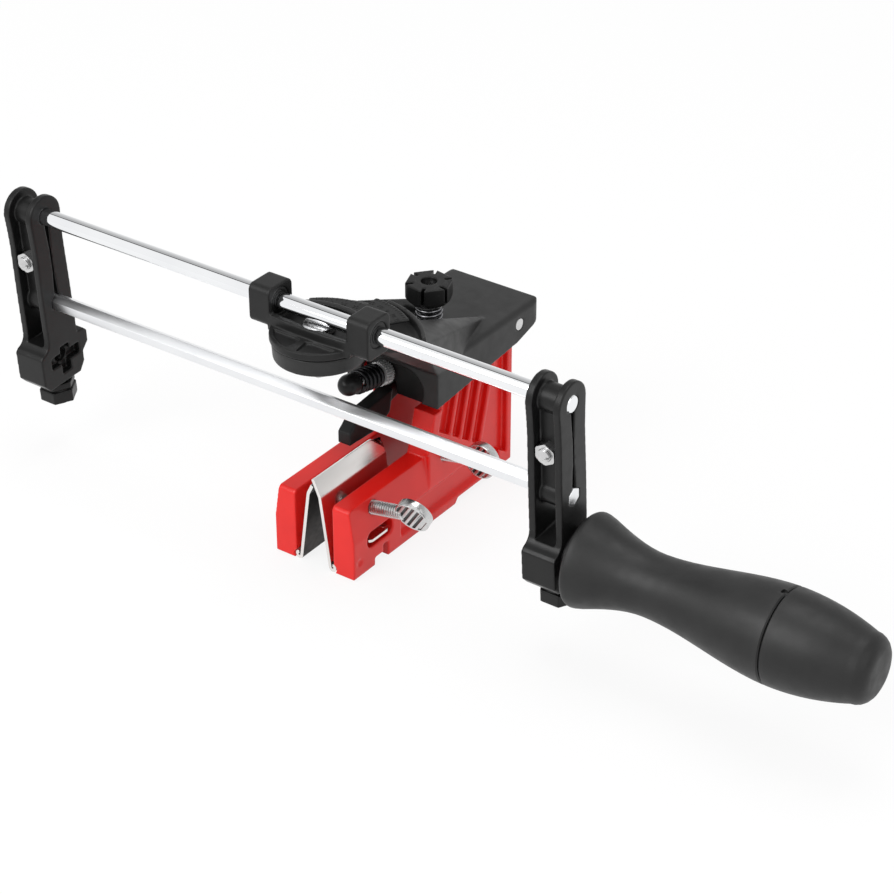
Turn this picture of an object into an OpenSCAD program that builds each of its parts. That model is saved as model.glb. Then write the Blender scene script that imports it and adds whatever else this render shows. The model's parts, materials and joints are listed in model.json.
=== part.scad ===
// Bar-mounted chainsaw sharpener: a bar clamp, a hinged index arm, a swivel guide and a filing frame.
// Millimetres, +Z up. The origin is midway between the jaws, under the swivel axis, level with the jaw tops.
// +X runs along the rods toward the handle and +Y to the rear of the clamp.

/* [Bar clamp] */
// Gap between the jaws, where the guide bar goes
slot_w = 16; // [14:0.5:20]
// Width across both jaws
clamp_w = 34; // [32:0.5:42]
// Reach of the jaws ahead of the swivel axis
jaw_front = 6; // [4:0.5:10]
// Height of the jaws
jaw_h = 27; // [25:0.5:32]
// Distance from the swivel axis to the rear of the casting
clamp_rear = 88; // [87:0.5:96]
// Where the post starts to rise
post_front = 36.5; // [34:0.5:39]
// Lean of the post's front edge and ribs
post_lean = 15; // [8:1:18]
// Height of the post's roof above the jaws
post_h = 30; // [29:0.5:32]
// Thickness of the roof over the chain
roof_t = 7; // [6:0.5:8]
// Depth of the panel between the ribs
panel_depth = 2.4; // [1:0.2:3.5]
// Thickness of a rib
rib_t = 2.2; // [1.5:0.1:3]
// Number of ribs on a side
rib_count = 4; // [2:1:5]

/* [Bar plates] */
// Length of a bar plate
plate_len = 33; // [28:0.5:36]
// Sheet thickness
plate_t = 1.2; // [0.8:0.1:1.5]
// Lean of the plates at rest
plate_lean = 8; // [6:0.5:10]
// Height of the straight leg
plate_leg = 27; // [24:0.5:28]
// Length of the bent top of the right plate
plate_top_right = 7.2; // [5:0.1:8]
// Length of the bent top of the left plate
plate_top_left = 4.4; // [3:0.1:4.6]
// Diameter of the rolled lower edge
plate_roll_d = 3.2; // [2.8:0.1:3.6]

/* [Thumbscrews] */
// Thread diameter
thumb_d = 5; // [4:0.5:6]
// Diameter of the flat thumb grip
thumb_grip_d = 13; // [11:0.5:15]
// Thickness of the grip
thumb_grip_t = 3.2; // [2.4:0.2:4]
// Distance from the jaw to the middle of the grip
thumb_reach = 16; // [15:0.5:20]
// Slope of the screws, outer end higher
thumb_slope = 11; // [8:0.5:13]
// Place of the front screw behind the swivel axis
thumb_front_y = 7; // [5:0.5:9]
// Place of the rear screw behind the swivel axis
thumb_rear_y = 47; // [44:0.5:52]

/* [Index arm] */
// Wall of the moulding
arm_wall = 2.2; // [1.8:0.1:3]
// Thickness of the housing's top
arm_top_t = 3; // [2.4:0.1:3.6]
// Height of the housing's top above the jaws
arm_top_z = 36.6; // [36.4:0.2:39]
// Front of the housing
arm_front_y = 39; // [38.6:0.2:40]
// Overhang of the housing behind the hinge pin
arm_overhang = 14; // [13:0.5:17]
// Radius of the housing's upright rear corners
arm_corner_r = 5; // [3:0.5:7]
// Hinge pin diameter
hinge_pin_d = 4.5; // [3.5:0.5:4.5]
// Half width of the arch in the front wall
arch_half_w = 13.4; // [12:0.2:14]
// Radius of the arch's shoulders
arch_r = 8; // [6:0.5:9]
// Radius of the round pivot seat
seat_r = 16; // [15:0.2:17]
// Radius of the recess that the scale turns in
sector_r = 33.4; // [32.6:0.2:36]
// Height of the rim round that recess
rim_h = 4; // [3:0.2:4.2]
// Thickness of that rim
rim_t = 1.6; // [1.2:0.1:2.4]

/* [Height adjuster] */
// Place of the height screw behind the swivel axis
height_y = 61; // [58:0.5:64]
// Height screw diameter
height_d = 6; // [5:0.5:6]
// Knob size across its corners
height_knob_d = 18.5; // [16:0.5:20]
// Knob height
height_knob_h = 7.7; // [6:0.1:9]
// Free height of the spring
height_spring_h = 9; // [8.8:0.2:11]
// Spring wire diameter
height_wire = 1.5; // [1.2:0.1:1.5]
// Spring outside diameter
height_spring_d = 10; // [9.6:0.2:12]

/* [Swivel guide] */
// Height of the upper rod above the jaws
rod_z = 68.5; // [68.5:0.5:72]
// Radius of the swivel disc
disc_r = 16.6; // [15.5:0.1:17]
// Distance between the outer faces of the two ears
guide_len = 49; // [47:0.5:56]
// Length of one ear
ear_len = 8.6; // [7:0.2:9]
// Width of an ear
ear_w = 12.4; // [12:0.2:14]
// Radius of the scale fan
fan_r = 31; // [29:0.5:33]
// Half angle of the scale fan
fan_half = 36; // [30:1:40]
// Pivot bolt diameter
pivot_d = 6; // [5:0.5:6]

/* [Filing frame] */
// Upper rod diameter
rod_d = 6; // [5:0.5:6.5]
// Lower bar size across its flats
bar_flats = 5.5; // [4.5:0.5:6]
// Distance from the upper rod to the lower bar
bar_drop = 35; // [34:0.5:36]
// Space between the two brackets
frame_span = 207; // [190:0.5:220]
// Distance from the left bracket to the swivel axis at rest
frame_left = 120.8; // [110.8:0.2:130]
// Bracket thickness along the rods
bracket_t = 12.8; // [12.8:0.2:16]
// Radius of the bracket's round top
bracket_r = 7.6; // [7.2:0.2:8.6]
// Thickness of a bracket flange
flange_t = 2.6; // [2:0.2:3.2]
// Distance from the lower bar down to the file
file_below_bar = 23; // [22:0.5:25]
// Largest file diameter
file_d = 5.6; // [5:0.1:6]
// Swing of the frame at rest, lower end to the rear
frame_swing = 4; // [3:0.5:4]
// Pinch bolt diameter
pinch_d = 4.5; // [4:0.5:5]

/* [Handle] */
// Length of the handle
handle_len = 109; // [100:0.5:125]
// Radius of the handle's flange
handle_flange_r = 16.2; // [15:0.2:18]
// Radius of the waist
handle_waist_r = 10.5; // [9.5:0.1:12]
// Radius of the belly
handle_belly_r = 16.2; // [15:0.1:18]
// Handle bolt diameter
handle_bolt_d = 6; // [5:0.5:7]

/* [Chain stop] */
// Place of the adjuster left of the middle
adjuster_x = -4.6; // [-5:0.2:-4]
// Slope of the adjuster, rear end lower
adjuster_slope = 12; // [10:0.5:13]
// Adjuster screw diameter
adjuster_d = 4; // [3.5:0.5:4.5]
// Diameter of the adjuster's cap
adjuster_cap_d = 7.6; // [6.5:0.1:8]
// Spring outside diameter
adjuster_spring_d = 8.6; // [8:0.1:9]
// Spring length
adjuster_spring_len = 13; // [12:0.5:13]
// Thickness of the chain-stop finger
pawl_t = 5.4; // [4.6:0.2:6]
// Length of the finger from its pin to its tip
pawl_len = 31; // [29:0.5:32]

/* [Clearances] */
// Radial clearance of a turning or sliding fit
run_gap = 0.05; // [0.03:0.01:0.08]
// Clearance between faces that move past each other
face_gap = 0.35; // [0.3:0.05:0.5]

/* [Hidden] */
$fn = 48;
slot_h = slot_w / 2;
clamp_h = clamp_w / 2;
jaw_t = clamp_h - slot_h;
pin_y = clamp_rear + 0.5;
pin_z = post_h + 1;
arm_rear_y = pin_y + arm_overhang;
barrel_r = 3.8;
tunnel_z = post_h - roof_t;
roof_front = arm_front_y + arm_wall + 3.6;
lean_run = tan(post_lean);
housing_in = clamp_h + face_gap;
housing_h = housing_in + arm_wall;
arm_ceiling = arm_top_z - arm_top_t;
wall_low_front = post_h - 10.2;
wall_low_rear = post_h - 2;
seat_top = rod_z - 9;
seat_bottom = seat_top - 6;
sector_floor = seat_top - rim_h;
disc_bottom = seat_top + face_gap;
disc_top = disc_bottom + 2.6;
ear_h = 12.6;
bush_d = rod_d + 3;
spring_seat = arm_top_z;
washer_t = 1;
gusset_front_y = arm_front_y + 14.5;
gusset_rear_y = gusset_front_y + 23.5;
gusset_h = 12.4;
valley_r = 13;
valley_slope = 19;
knob_z = spring_seat + height_spring_h + washer_t;
file_gap_knob = 1.2;
file_drop = bar_drop + file_below_bar;
foot_bottom = file_drop + 10;
foot_h = 12;
strap_h = 7;
web_h = 3.4;
boss_wall = 1.8;
pinch_nut_t = 3.3;
pinch_head_t = 3;
pinch_nut_d = 8;
knob_turn = 50;
clamp_d = 4.5;
socket_depth = 2.8;
plate_hinge_x = slot_h - 0.8;
plate_hinge_z = -jaw_h + 1.4;
plate_y = -2;
thumb_front_z = -4;
thumb_rear_z = -2.6;
adjuster_front_y = arm_front_y - 22;
adjuster_front_z = tunnel_z + 8;
collar_len = 4.2;
collar_d = 8.8;
post_step = 16;
post_front_left = roof_front + 2.2;
collar_at = 7.4 + adjuster_spring_len;
carriage_at = 32;
carriage_len = 12;
carriage_w = pawl_t + 2;
carriage_room = carriage_w + 2 * face_gap;
carriage_high = 3;
carriage_low = 4;
carriage_fore = 6;
carriage_aft = 8;
pawl_hub_r = 2.6;
stop_window_low = 14;
pawl_pin_at = carriage_at + 3.2;
pawl_pin_drop = 6.6;

// A drawing in the (y, z) plane, made solid from x0 to x1
module along_x(x0, x1) translate([x0, 0, 0]) rotate([90, 0, 90]) linear_extrude(x1 - x0) children();

// A drawing in the (x, z) plane, made solid from y0 to y1
module along_y(y0, y1) translate([0, y1, 0]) rotate([90, 0, 0]) linear_extrude(y1 - y0) children();

// Round bars along X and Y
module x_bar(d, x0, x1, y, z) translate([x0, y, z]) rotate([0, 90, 0]) cylinder(d = d, h = x1 - x0);
module y_bar(d, y0, y1, x, z) translate([x, y0, z]) rotate([-90, 0, 0]) cylinder(d = d, h = y1 - y0);

// A flat drawing of a rectangle with round corners
module soft_rect(x0, x1, y0, y1, r) {
  translate([x0 + r, y0]) square([x1 - x0 - 2 * r, y1 - y0]);
  translate([x0, y0 + r]) square([x1 - x0, y1 - y0 - 2 * r]);
  for (x = [x0 + r, x1 - r], y = [y0 + r, y1 - r]) translate([x, y]) circle(r);
}

// A flat drawing of a pie slice about +Y
module slice(r, from, to) {
  intersection() {
    circle(r, $fn = 96);
    polygon([[0, 0], for (i = [0:4]) let (a = from + (to - from) * i / 4) 2 * r * [sin(a), cos(a)]]);
  }
}

// Centre line of a wound spring: a straight end, the turns, and a straight end
function coil_path(r, h, wire, turns) = let (rise = h - 2 * wire, steps = 8 * turns)
  concat([[r, 0, 0]],
    [for (i = [0:steps]) let (a = 360 * i / 8) [r * cos(a), r * sin(a), wire + rise * i / steps]],
    [[r * cos(45 * steps), r * sin(45 * steps), h]]);
function unit(v) = v / norm(v);
function path_way(p, i) = unit(unit(p[min(i + 1, len(p) - 1)] - p[i] + [0, 0, 0.0001])
  + unit(p[i] - p[max(i - 1, 0)] + [0, 0, 0.0001]));

// One unbroken wound wire
module coil(d, h, wire, turns) {
  p = coil_path((d - wire) / 2, h, wire, turns);
  rings = len(p);
  sides = 6;
  points = [for (i = [0:rings - 1])
    let (out = unit([p[i][0], p[i][1], 0]), up = unit(cross(path_way(p, i), out)))
    for (k = [0:sides - 1]) p[i] + wire / 2 * (cos(360 * k / sides) * out + sin(360 * k / sides) * up)];
  walls = [for (i = [0:rings - 2], k = [0:sides - 1])
    let (a = i * sides + k, b = i * sides + (k + 1) % sides)
    for (f = [[a, b + sides, b], [a, a + sides, b + sides]]) f];
  ends = [for (k = [1:sides - 2]) for (f = [[0, k, k + 1],
    [(rings - 1) * sides, (rings - 1) * sides + k + 1, (rings - 1) * sides + k]]) f];
  gaps = [for (i = [0:rings - 6], j = [i + 5:rings - 1]) norm(p[i] - p[j]) - wire];
  echo(least_self_gap = min(gaps));
  polyhedron(points, concat(walls, ends));
}

// Everything in the filing frame is drawn about the upper rod and then swung to its rest place
module in_frame() translate([0, 0, rod_z]) rotate([frame_swing, 0, 0]) children();
left_x = -frame_left;
right_x = frame_span - frame_left;

// Everything on the chain-stop adjuster is drawn along +Y and then sloped
module on_adjuster() translate([adjuster_x, adjuster_front_y, adjuster_front_z])
  rotate([-adjuster_slope, 0, 0]) children();

// Bar clamp

module jaw_side(front, lean) {
  polygon([[-jaw_front, -jaw_h], [-jaw_front, -1], [1 - jaw_front, 0], [front, 0],
    [front + lean * post_step, post_step], [roof_front, post_step], [roof_front, post_h],
    [pin_y, post_h], [pin_y, pin_z - barrel_r], [clamp_rear, pin_z - barrel_r - 4], [clamp_rear, 2 - jaw_h],
    [55, 2 - jaw_h], [53.5, -jaw_h]]);
}

// The panel between the ribs, with a lower edge that slopes down to the rear
module panel_side() {
  polygon([[post_front + 7, 8], [post_front + 5 + lean_run * (post_h - 3), post_h - 2],
    [clamp_rear - 3, post_h - 2], [clamp_rear - 3, 6 - jaw_h]]);
}

module rib_side(i) {
  from = post_front + 5 + (clamp_rear - 16 - post_front) * i / (rib_count + 1);
  polygon([[from - lean_run * jaw_h, -jaw_h], [from + lean_run * post_h, post_h],
    [from + rib_t + lean_run * post_h, post_h], [from + rib_t - lean_run * jaw_h, -jaw_h]]);
}

// The outer sides of the jaws lean out from the top edge
module draft_cut() polygon([[clamp_h - 2, 0], [clamp_h - 2, 1], [clamp_h + 1, 1], [clamp_h + 1, -13],
  [clamp_h, -13]]);

// The long groove low on each side, behind the flat front boss
module groove_cut() polygon([[clamp_h + 1, -13], [clamp_h, -13], [clamp_h - 2, -15], [clamp_h - 2, -22],
  [clamp_h, -23.4], [clamp_h + 1, -23.4]]);

module thumb_at(y, z) translate([clamp_h, y, z]) rotate([0, 90 - thumb_slope, 0]) children();

module clamp_casting() color([0.72, 0.1, 0.07]) difference() {
  union() {
    for (s = [0, 1]) mirror([s, 0, 0]) difference() {
      along_x(slot_h, clamp_h) jaw_side(s == 0 ? post_front : post_front_left, s == 0 ? lean_run : 0);
      along_x(clamp_h - panel_depth, clamp_h + 1) difference() {
        panel_side();
        for (i = [1:rib_count]) rib_side(i);
      }
      along_y(-jaw_front - 1, post_front + 1) draft_cut();
      along_y(21, clamp_rear - 8) groove_cut();
    }
    along_x(-slot_h - 1, slot_h + 1) translate([roof_front, tunnel_z]) square([pin_y - roof_front, roof_t]);
    x_bar(2 * barrel_r, -clamp_h, clamp_h, pin_y, pin_z);
  }
  x_bar(hinge_pin_d + 0.02, -clamp_h - 1, clamp_h + 1, pin_y, pin_z);
  for (s = [-1, 1]) y_bar(plate_roll_d + 2 * face_gap, plate_y - face_gap, plate_y + plate_len + face_gap,
    s * plate_hinge_x, plate_hinge_z);
  thumb_at(thumb_front_y, thumb_front_z) translate([0, 0, -20]) cylinder(d = thumb_d + 2 * run_gap, h = 30);
  thumb_at(thumb_rear_y, thumb_rear_z) translate([0, 0, -20]) cylinder(d = thumb_d + 2 * run_gap, h = 30);
  along_x(slot_h - 1, clamp_h + 1) {
    soft_rect(1.9, 16.2, -18.6, -12.4, 2.5);
    translate([6.1, -jaw_h - 1]) square([7.4, 4]);
    translate([10.8, -jaw_h - 1]) square([2.7, 7]);
  }
  x_bar(2.6, clamp_h - 0.5, clamp_h + 1, 3.2 - jaw_front, 5.7 - jaw_h);
  on_adjuster() translate([-carriage_room / 2, carriage_at - carriage_fore, -carriage_low - 6])
    cube([carriage_room, carriage_fore + carriage_len + carriage_aft, carriage_low + carriage_high + 6.6]);
}

module plate_leaf(top, bend) {
  sink = plate_roll_d / 2 - plate_t / 2;
  circle(d = plate_roll_d);
  translate([-plate_t / 2 - sink, 0]) square([plate_t, plate_leg]);
  translate([-plate_t / 2 - sink, plate_leg]) rotate(bend) translate([0, -0.35]) square([plate_t, top]);
}

module bar_plate_right() color([0.86, 0.87, 0.88])
  translate([plate_hinge_x, 0, plate_hinge_z]) rotate([0, -plate_lean, 0])
    along_y(plate_y, plate_y + plate_len) plate_leaf(plate_top_right, 16);

module bar_plate_left() color([0.86, 0.87, 0.88])
  translate([-plate_hinge_x, 0, plate_hinge_z]) rotate([0, plate_lean, 0]) mirror([1, 0, 0])
    along_y(plate_y, plate_y + plate_len) plate_leaf(plate_top_left, 18);

module thumbscrew(tip, turn) {
  translate([0, 0, -tip]) cylinder(d = thumb_d, h = tip + thumb_reach - thumb_grip_d / 2 + 2);
  translate([0, 0, thumb_reach]) rotate([90, 0, turn]) difference() {
    cylinder(d = thumb_grip_d, h = thumb_grip_t, center = true);
    for (s = [-1, 1], k = [-2:2]) rotate(45)
      translate([-thumb_grip_d, 2.4 * k - 0.4, s * thumb_grip_t / 2 - 0.4])
      cube([2 * thumb_grip_d, 0.8, 0.8]);
  }
}

// The front screw stops just short of the right plate at rest
module thumbscrew_front() color([0.55, 0.57, 0.6])
  thumb_at(thumb_front_y, thumb_front_z) thumbscrew(jaw_t + 2.9, 22);
module thumbscrew_rear() color([0.55, 0.57, 0.6])
  thumb_at(thumb_rear_y, thumb_rear_z) thumbscrew(jaw_t - 0.5, 0);

module arm_hinge_pin() color([0.7, 0.71, 0.72]) x_bar(hinge_pin_d, -housing_h, housing_h, pin_y, pin_z);

// Index arm

module housing_plan(inset) {
  r = arm_corner_r - inset;
  soft_rect(inset - housing_h, housing_h - inset, arm_front_y + 20, arm_rear_y - inset, r);
  translate([inset - housing_h, arm_front_y + inset]) square([2 * (housing_h - inset), 30]);
}

// Outside of the housing from the side, with its sloped lower edge
module housing_side() polygon([[arm_front_y, wall_low_front], [arm_rear_y - 15, post_h - 6],
  [arm_rear_y, wall_low_rear], [arm_rear_y, arm_top_z - 2], [arm_rear_y - 2, arm_top_z],
  [arm_front_y, arm_top_z]]);

// Outside of the housing from the front, with soft top edges
module housing_front() {
  soft_rect(-housing_h, housing_h, wall_low_front - 10, arm_top_z, 2);
  translate([-housing_h, wall_low_front - 12]) square([2 * housing_h, 10]);
}

module arch_front() {
  top = tunnel_z + 8.9;
  for (s = [-1, 1]) translate([s * (arch_half_w - arch_r), top - arch_r]) circle(arch_r);
  translate([arch_r - arch_half_w, tunnel_z]) square([2 * (arch_half_w - arch_r), 8.9]);
  polygon([[-arch_half_w, top - arch_r], [arch_half_w, top - arch_r], [arch_half_w - 3, wall_low_front - 1],
    [3 - arch_half_w, wall_low_front - 1]]);
}

// The gooseneck is one blend from the scale sector down to two gussets on the housing's top
module gooseneck() hull() {
  translate([0, 0, seat_bottom]) linear_extrude(sector_floor - seat_bottom) intersection() {
    slice(sector_r + rim_t, -20, 50);
    translate([-40, seat_r - 4]) square(80);
  }
  translate([0, 0, arm_ceiling]) linear_extrude(arm_top_t) polygon([[-housing_h, arm_front_y],
    [-housing_h, gusset_front_y], [-gusset_h, gusset_rear_y], [gusset_h, gusset_rear_y],
    [housing_h, gusset_front_y], [housing_h, arm_front_y]]);
}

// A sloped round valley between the gussets leaves room for the height knob
module knob_valley() translate([0, height_y - 1 + valley_r / sin(valley_slope), arm_top_z])
  rotate([90 - valley_slope, 0, 0]) cylinder(r = valley_r, h = 3.8 * valley_r);

module index_arm() color([0.16, 0.16, 0.17]) difference() {
  union() {
    intersection() {
      translate([0, 0, wall_low_front - 1]) linear_extrude(arm_top_z) housing_plan(0);
      along_x(-housing_h, housing_h) housing_side();
      along_y(arm_front_y, arm_rear_y) housing_front();
    }
    difference() {
      gooseneck();
      knob_valley();
    }
    translate([0, 0, seat_bottom]) cylinder(r1 = seat_r - 0.4, r2 = seat_r, h = seat_top - seat_bottom);
    translate([0, 0, seat_bottom]) linear_extrude(sector_floor - seat_bottom) slice(sector_r + rim_t, 4, 54);
    translate([0, 0, seat_bottom]) linear_extrude(seat_top - seat_bottom) difference() {
      slice(sector_r + rim_t, 4, 54);
      circle(sector_r, $fn = 96);
    }
  }
  intersection() {
    translate([0, 0, wall_low_front - 20]) linear_extrude(arm_ceiling - wall_low_front + 20)
      housing_plan(arm_wall);
    translate([-50, 0, 0]) cube([100, 200, arm_ceiling]);
  }
  along_y(arm_front_y - 30, arm_front_y + 4) arch_front();
  x_bar(2 * (barrel_r + face_gap), -housing_in, housing_in, pin_y, pin_z);
  x_bar(hinge_pin_d + 2 * run_gap, -housing_h - 1, housing_h + 1, pin_y, pin_z);
  translate([0, height_y, arm_ceiling - 1]) cylinder(d = height_d + 2 * run_gap, h = arm_top_t + 20);
  translate([0, height_y, arm_top_z]) cylinder(d = height_knob_d + 2, h = 30);
  translate([0, 0, seat_bottom - 20]) cylinder(d = pivot_d + 2 * run_gap, h = 40);
  translate([0, 0, seat_bottom - 20]) cylinder(d = 13, h = 20);
}

module pivot_bolt() color([0.75, 0.76, 0.78]) {
  translate([0, 0, seat_bottom - 6.4])
    cylinder(d = pivot_d, h = disc_top - seat_bottom + 6.4 + face_gap + 0.5);
  translate([0, 0, disc_top + face_gap]) cylinder(d = 11, h = 2.3);
}
module pivot_washer() color([0.7, 0.71, 0.72]) translate([0, 0, seat_bottom - 1]) difference() {
  cylinder(d = 12, h = 1);
  translate([0, 0, -1]) cylinder(d = pivot_d + 2 * run_gap, h = 3);
}
module pivot_nut() color([0.75, 0.76, 0.78]) translate([0, 0, seat_bottom - 6]) difference() {
  cylinder(d = 11.5, h = 5, $fn = 6);
  translate([0, 0, -1]) cylinder(d = pivot_d + 2 * run_gap, h = 7);
}

// Height adjuster

module height_knob() color([0.12, 0.12, 0.13]) translate([0, height_y, knob_z]) difference() {
  intersection() {
    rotate(knob_turn) cylinder(d = height_knob_d, h = height_knob_h, $fn = 6);
    cylinder(d = height_knob_d - 0.7, h = height_knob_h);
  }
  translate([0, 0, -1]) cylinder(d = height_d + 0.02, h = height_knob_h + 2);
  for (a = [0:60:300]) rotate(a + knob_turn) translate([height_knob_d / 2 - 3.4, -0.6, height_knob_h / 4])
    cube([4, 1.2, height_knob_h]);
}
module height_screw() color([0.75, 0.76, 0.78]) translate([0, height_y, post_h + face_gap])
  cylinder(d = height_d, h = knob_z + height_knob_h - 2.4 - post_h - face_gap);
module height_washer() color([0.78, 0.79, 0.8]) translate([0, height_y, knob_z - washer_t]) difference() {
  cylinder(d = height_spring_d + 1.5, h = washer_t - 0.02);
  translate([0, 0, -1]) cylinder(d = height_d + 2 * run_gap, h = washer_t + 2);
}
module height_spring() color([0.82, 0.83, 0.85]) translate([0, height_y, spring_seat + 0.02])
  coil(height_spring_d, height_spring_h - 0.04, height_wire, 3);

// Swivel guide

module boat_plan(half_mid, half_end, half_len) {
  sag = half_mid - half_end;
  r = (half_len * half_len + sag * sag) / (2 * sag);
  intersection() {
    translate([0, half_mid - r]) circle(r, $fn = 160);
    translate([0, r - half_mid]) circle(r, $fn = 160);
    square([2 * half_len, 4 * half_mid], center = true);
  }
}

// Half of a boat shape: only the part behind or in front of the rod
module half_boat(half_mid, half_end, half_len, side) intersection() {
  boat_plan(half_mid, half_end, half_len);
  translate([-half_len, side > 0 ? 0 : -half_mid]) square([2 * half_len, half_mid]);
}

module swivel_guide() color([0.15, 0.15, 0.16]) {
  ear_in = guide_len / 2 - ear_len;
  difference() {
    union() {
      translate([0, 0, disc_bottom]) cylinder(r = disc_r, h = disc_top - disc_bottom);
      translate([0, 0, disc_bottom]) linear_extrude(1.2) {
        slice(fan_r, 0, fan_half);
        slice(fan_r - 5.4, -fan_half - 10, 1);
      }
      translate([0, 0, disc_bottom]) linear_extrude(rod_z - 2.6 - disc_bottom) {
        half_boat(13.4, ear_w / 2, ear_in + 1, 1);
        half_boat(7.2, ear_w / 2, ear_in + 1, -1);
      }
      for (s = [-1, 1]) along_x(s > 0 ? ear_in : -guide_len / 2, s > 0 ? guide_len / 2 : -ear_in)
        soft_rect(-ear_w / 2, ear_w / 2, rod_z - ear_h / 2 - 1.5, rod_z + ear_h / 2, 2.4);
    }
    translate([0, 0, disc_top]) linear_extrude(20) {
      half_boat(10.8, rod_d / 2 + 0.8, ear_in, 1);
      half_boat(4.6, rod_d / 2 + 0.8, ear_in, -1);
      circle(5.9);
    }
    x_bar(bush_d + 2 * run_gap, -guide_len, guide_len, 0, rod_z);
    translate([0, 0, disc_bottom - 1]) cylinder(d = pivot_d + 2 * run_gap, h = 20);
    for (from = [118, 188]) translate([0, 0, disc_top - 1]) linear_extrude(5) difference() {
      slice(disc_r - 1.6, from, from + 54);
      circle(8.6);
      translate([-20, -7.8]) square(40);
    }
  }
}

module guide_bush(x) difference() {
  x_bar(bush_d, x, x + ear_len - 0.8, 0, rod_z);
  x_bar(rod_d + 2 * run_gap, x - 1, x + ear_len, 0, rod_z);
}
module guide_bush_left() color([0.1, 0.1, 0.1]) guide_bush(0.4 - guide_len / 2);
module guide_bush_right() color([0.1, 0.1, 0.1]) guide_bush(guide_len / 2 - ear_len + 0.4);

// Chain stop, drawn along its own sloped axis

module stop_plate() color([0.15, 0.15, 0.16]) difference() {
  along_x(-clamp_h + 3.6, clamp_h - 3.6) translate([roof_front - 2.6, wall_low_front - 1.8])
    square([2.58, post_h - wall_low_front + 2]);
  on_adjuster() y_bar(adjuster_d + 2 * run_gap, collar_at, carriage_at, 0, 0);
  on_adjuster() translate([-carriage_room / 2, carriage_at - 10, -stop_window_low])
    cube([carriage_room, carriage_len, stop_window_low - pawl_hub_r]);
}
module adjuster_collar() color([0.75, 0.76, 0.78]) on_adjuster() difference() {
  y_bar(collar_d, collar_at, collar_at + collar_len, 0, 0);
  y_bar(adjuster_d + 2 * run_gap, collar_at - 1, collar_at + collar_len + 1, 0, 0);
}
module adjuster_screw() color([0.75, 0.76, 0.78]) on_adjuster()
  y_bar(adjuster_d, 3, carriage_at + carriage_len + 6, 0, 0);
module adjuster_cap() color([0.12, 0.12, 0.13]) on_adjuster() difference() {
  union() {
    translate([0, adjuster_cap_d / 2, 0]) sphere(d = adjuster_cap_d);
    y_bar(adjuster_cap_d, adjuster_cap_d / 2, 7, 0, 0);
  }
  y_bar(adjuster_d + 0.02, 3, 9, 0, 0);
}
module adjuster_spring() color([0.4, 0.41, 0.43]) on_adjuster() translate([0, 7.2, 0]) rotate([-90, 0, 0])
  coil(adjuster_spring_d, adjuster_spring_len, 1.2, 5);
module pawl_carriage() color([0.14, 0.14, 0.15]) on_adjuster() difference() {
  union() {
    translate([-carriage_w / 2, carriage_at, -carriage_low])
      cube([carriage_w, carriage_len, carriage_low + carriage_high]);
    for (s = [0, 1]) mirror([s, 0, 0]) along_x(pawl_t / 2 - 1.4, carriage_w / 2) {
      translate([pawl_pin_at, -pawl_pin_drop]) circle(pawl_hub_r);
      translate([pawl_pin_at - pawl_hub_r, -pawl_pin_drop]) square([2 * pawl_hub_r, pawl_pin_drop - 3]);
    }
  }
  y_bar(adjuster_d + 2 * run_gap, carriage_at - 1, carriage_at + carriage_len + 1, 0, 0);
  x_bar(2.02, -pawl_t, pawl_t, pawl_pin_at, -pawl_pin_drop);
}
module pawl_pin() color([0.75, 0.76, 0.78]) on_adjuster()
  x_bar(2, -carriage_w / 2, carriage_w / 2, pawl_pin_at, -pawl_pin_drop);

// The finger leans down and forward from its pin to a squared tip over the chain
module pawl() color([0.12, 0.12, 0.13]) on_adjuster() difference() {
  reach = pawl_t / 2 - 1.4 - face_gap;
  union() {
    along_x(-reach, reach) translate([pawl_pin_at, -pawl_pin_drop]) {
      circle(pawl_hub_r);
      polygon([[0, pawl_hub_r], pawl_len * [-0.29, 0.016], pawl_len * [-0.29, -0.226], [0, -pawl_hub_r]]);
    }
    along_x(-pawl_t / 2, pawl_t / 2) translate([pawl_pin_at, -pawl_pin_drop])
      polygon(pawl_len * [[-0.26, 0.026], [-0.84, -0.16], [-1, -0.355], [-0.97, -0.5], [-0.45, -0.42],
        [-0.26, -0.26]]);
  }
  x_bar(2 + 2 * run_gap, -pawl_t, pawl_t, pawl_pin_at, -pawl_pin_drop);
}

// Filing frame

module upper_rod() color([0.78, 0.79, 0.81]) in_frame()
  x_bar(rod_d, left_x - bracket_t, right_x + bracket_t, 0, 0);
module hex_bar(flats, x0, x1) translate([x0, 0, -bar_drop]) rotate([0, 90, 0])
  cylinder(d = flats / cos(30), h = x1 - x0, $fn = 6);
module lower_bar() color([0.66, 0.67, 0.69]) in_frame()
  hex_bar(bar_flats, left_x - bracket_t, right_x + bracket_t);

// Half width of the strap at a distance below the upper rod: the round top runs into a slight waist
function strap_half(drop) = strap_h + (bracket_r - strap_h) * pow(cos(90 * min(drop / 10, 1)), 2)
  + 0.3 * ease(max(drop - 10, 0) / (bar_drop - 10) > 1 ? 1 : max(drop - 10, 0) / (bar_drop - 10));

// Bracket outline from the side: a round-topped strap that flares into the file foot
module bracket_side() {
  flare_r = 4.4;
  flare_top = 9.5 - file_drop;
  edge = [for (i = [0:8]) let (drop = -flare_top * i / 8) [strap_half(drop), -drop]];
  circle(bracket_r);
  polygon(concat(
    [for (p = edge) [-p[0], p[1]]],
    [for (a = [15:15:60]) [-strap_half(-flare_top) - flare_r * (1 - cos(a)), flare_top - flare_r * sin(a)]],
    [[1 - foot_h, 5 - file_drop], [-foot_h, 4 - file_drop], [-foot_h, 3 - foot_bottom],
      [2.5 - foot_h, -foot_bottom], [6.5, -foot_bottom], [9, 3.5 - foot_bottom], [9, -file_drop - 2.5],
      [foot_h, 0.5 - file_drop], [foot_h, 5 - file_drop], [foot_h - 1.5, 6.5 - file_drop],
      [strap_half(-flare_top), 6.5 - file_drop]],
    [for (i = [8:-1:0]) edge[i]]));
}

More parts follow.
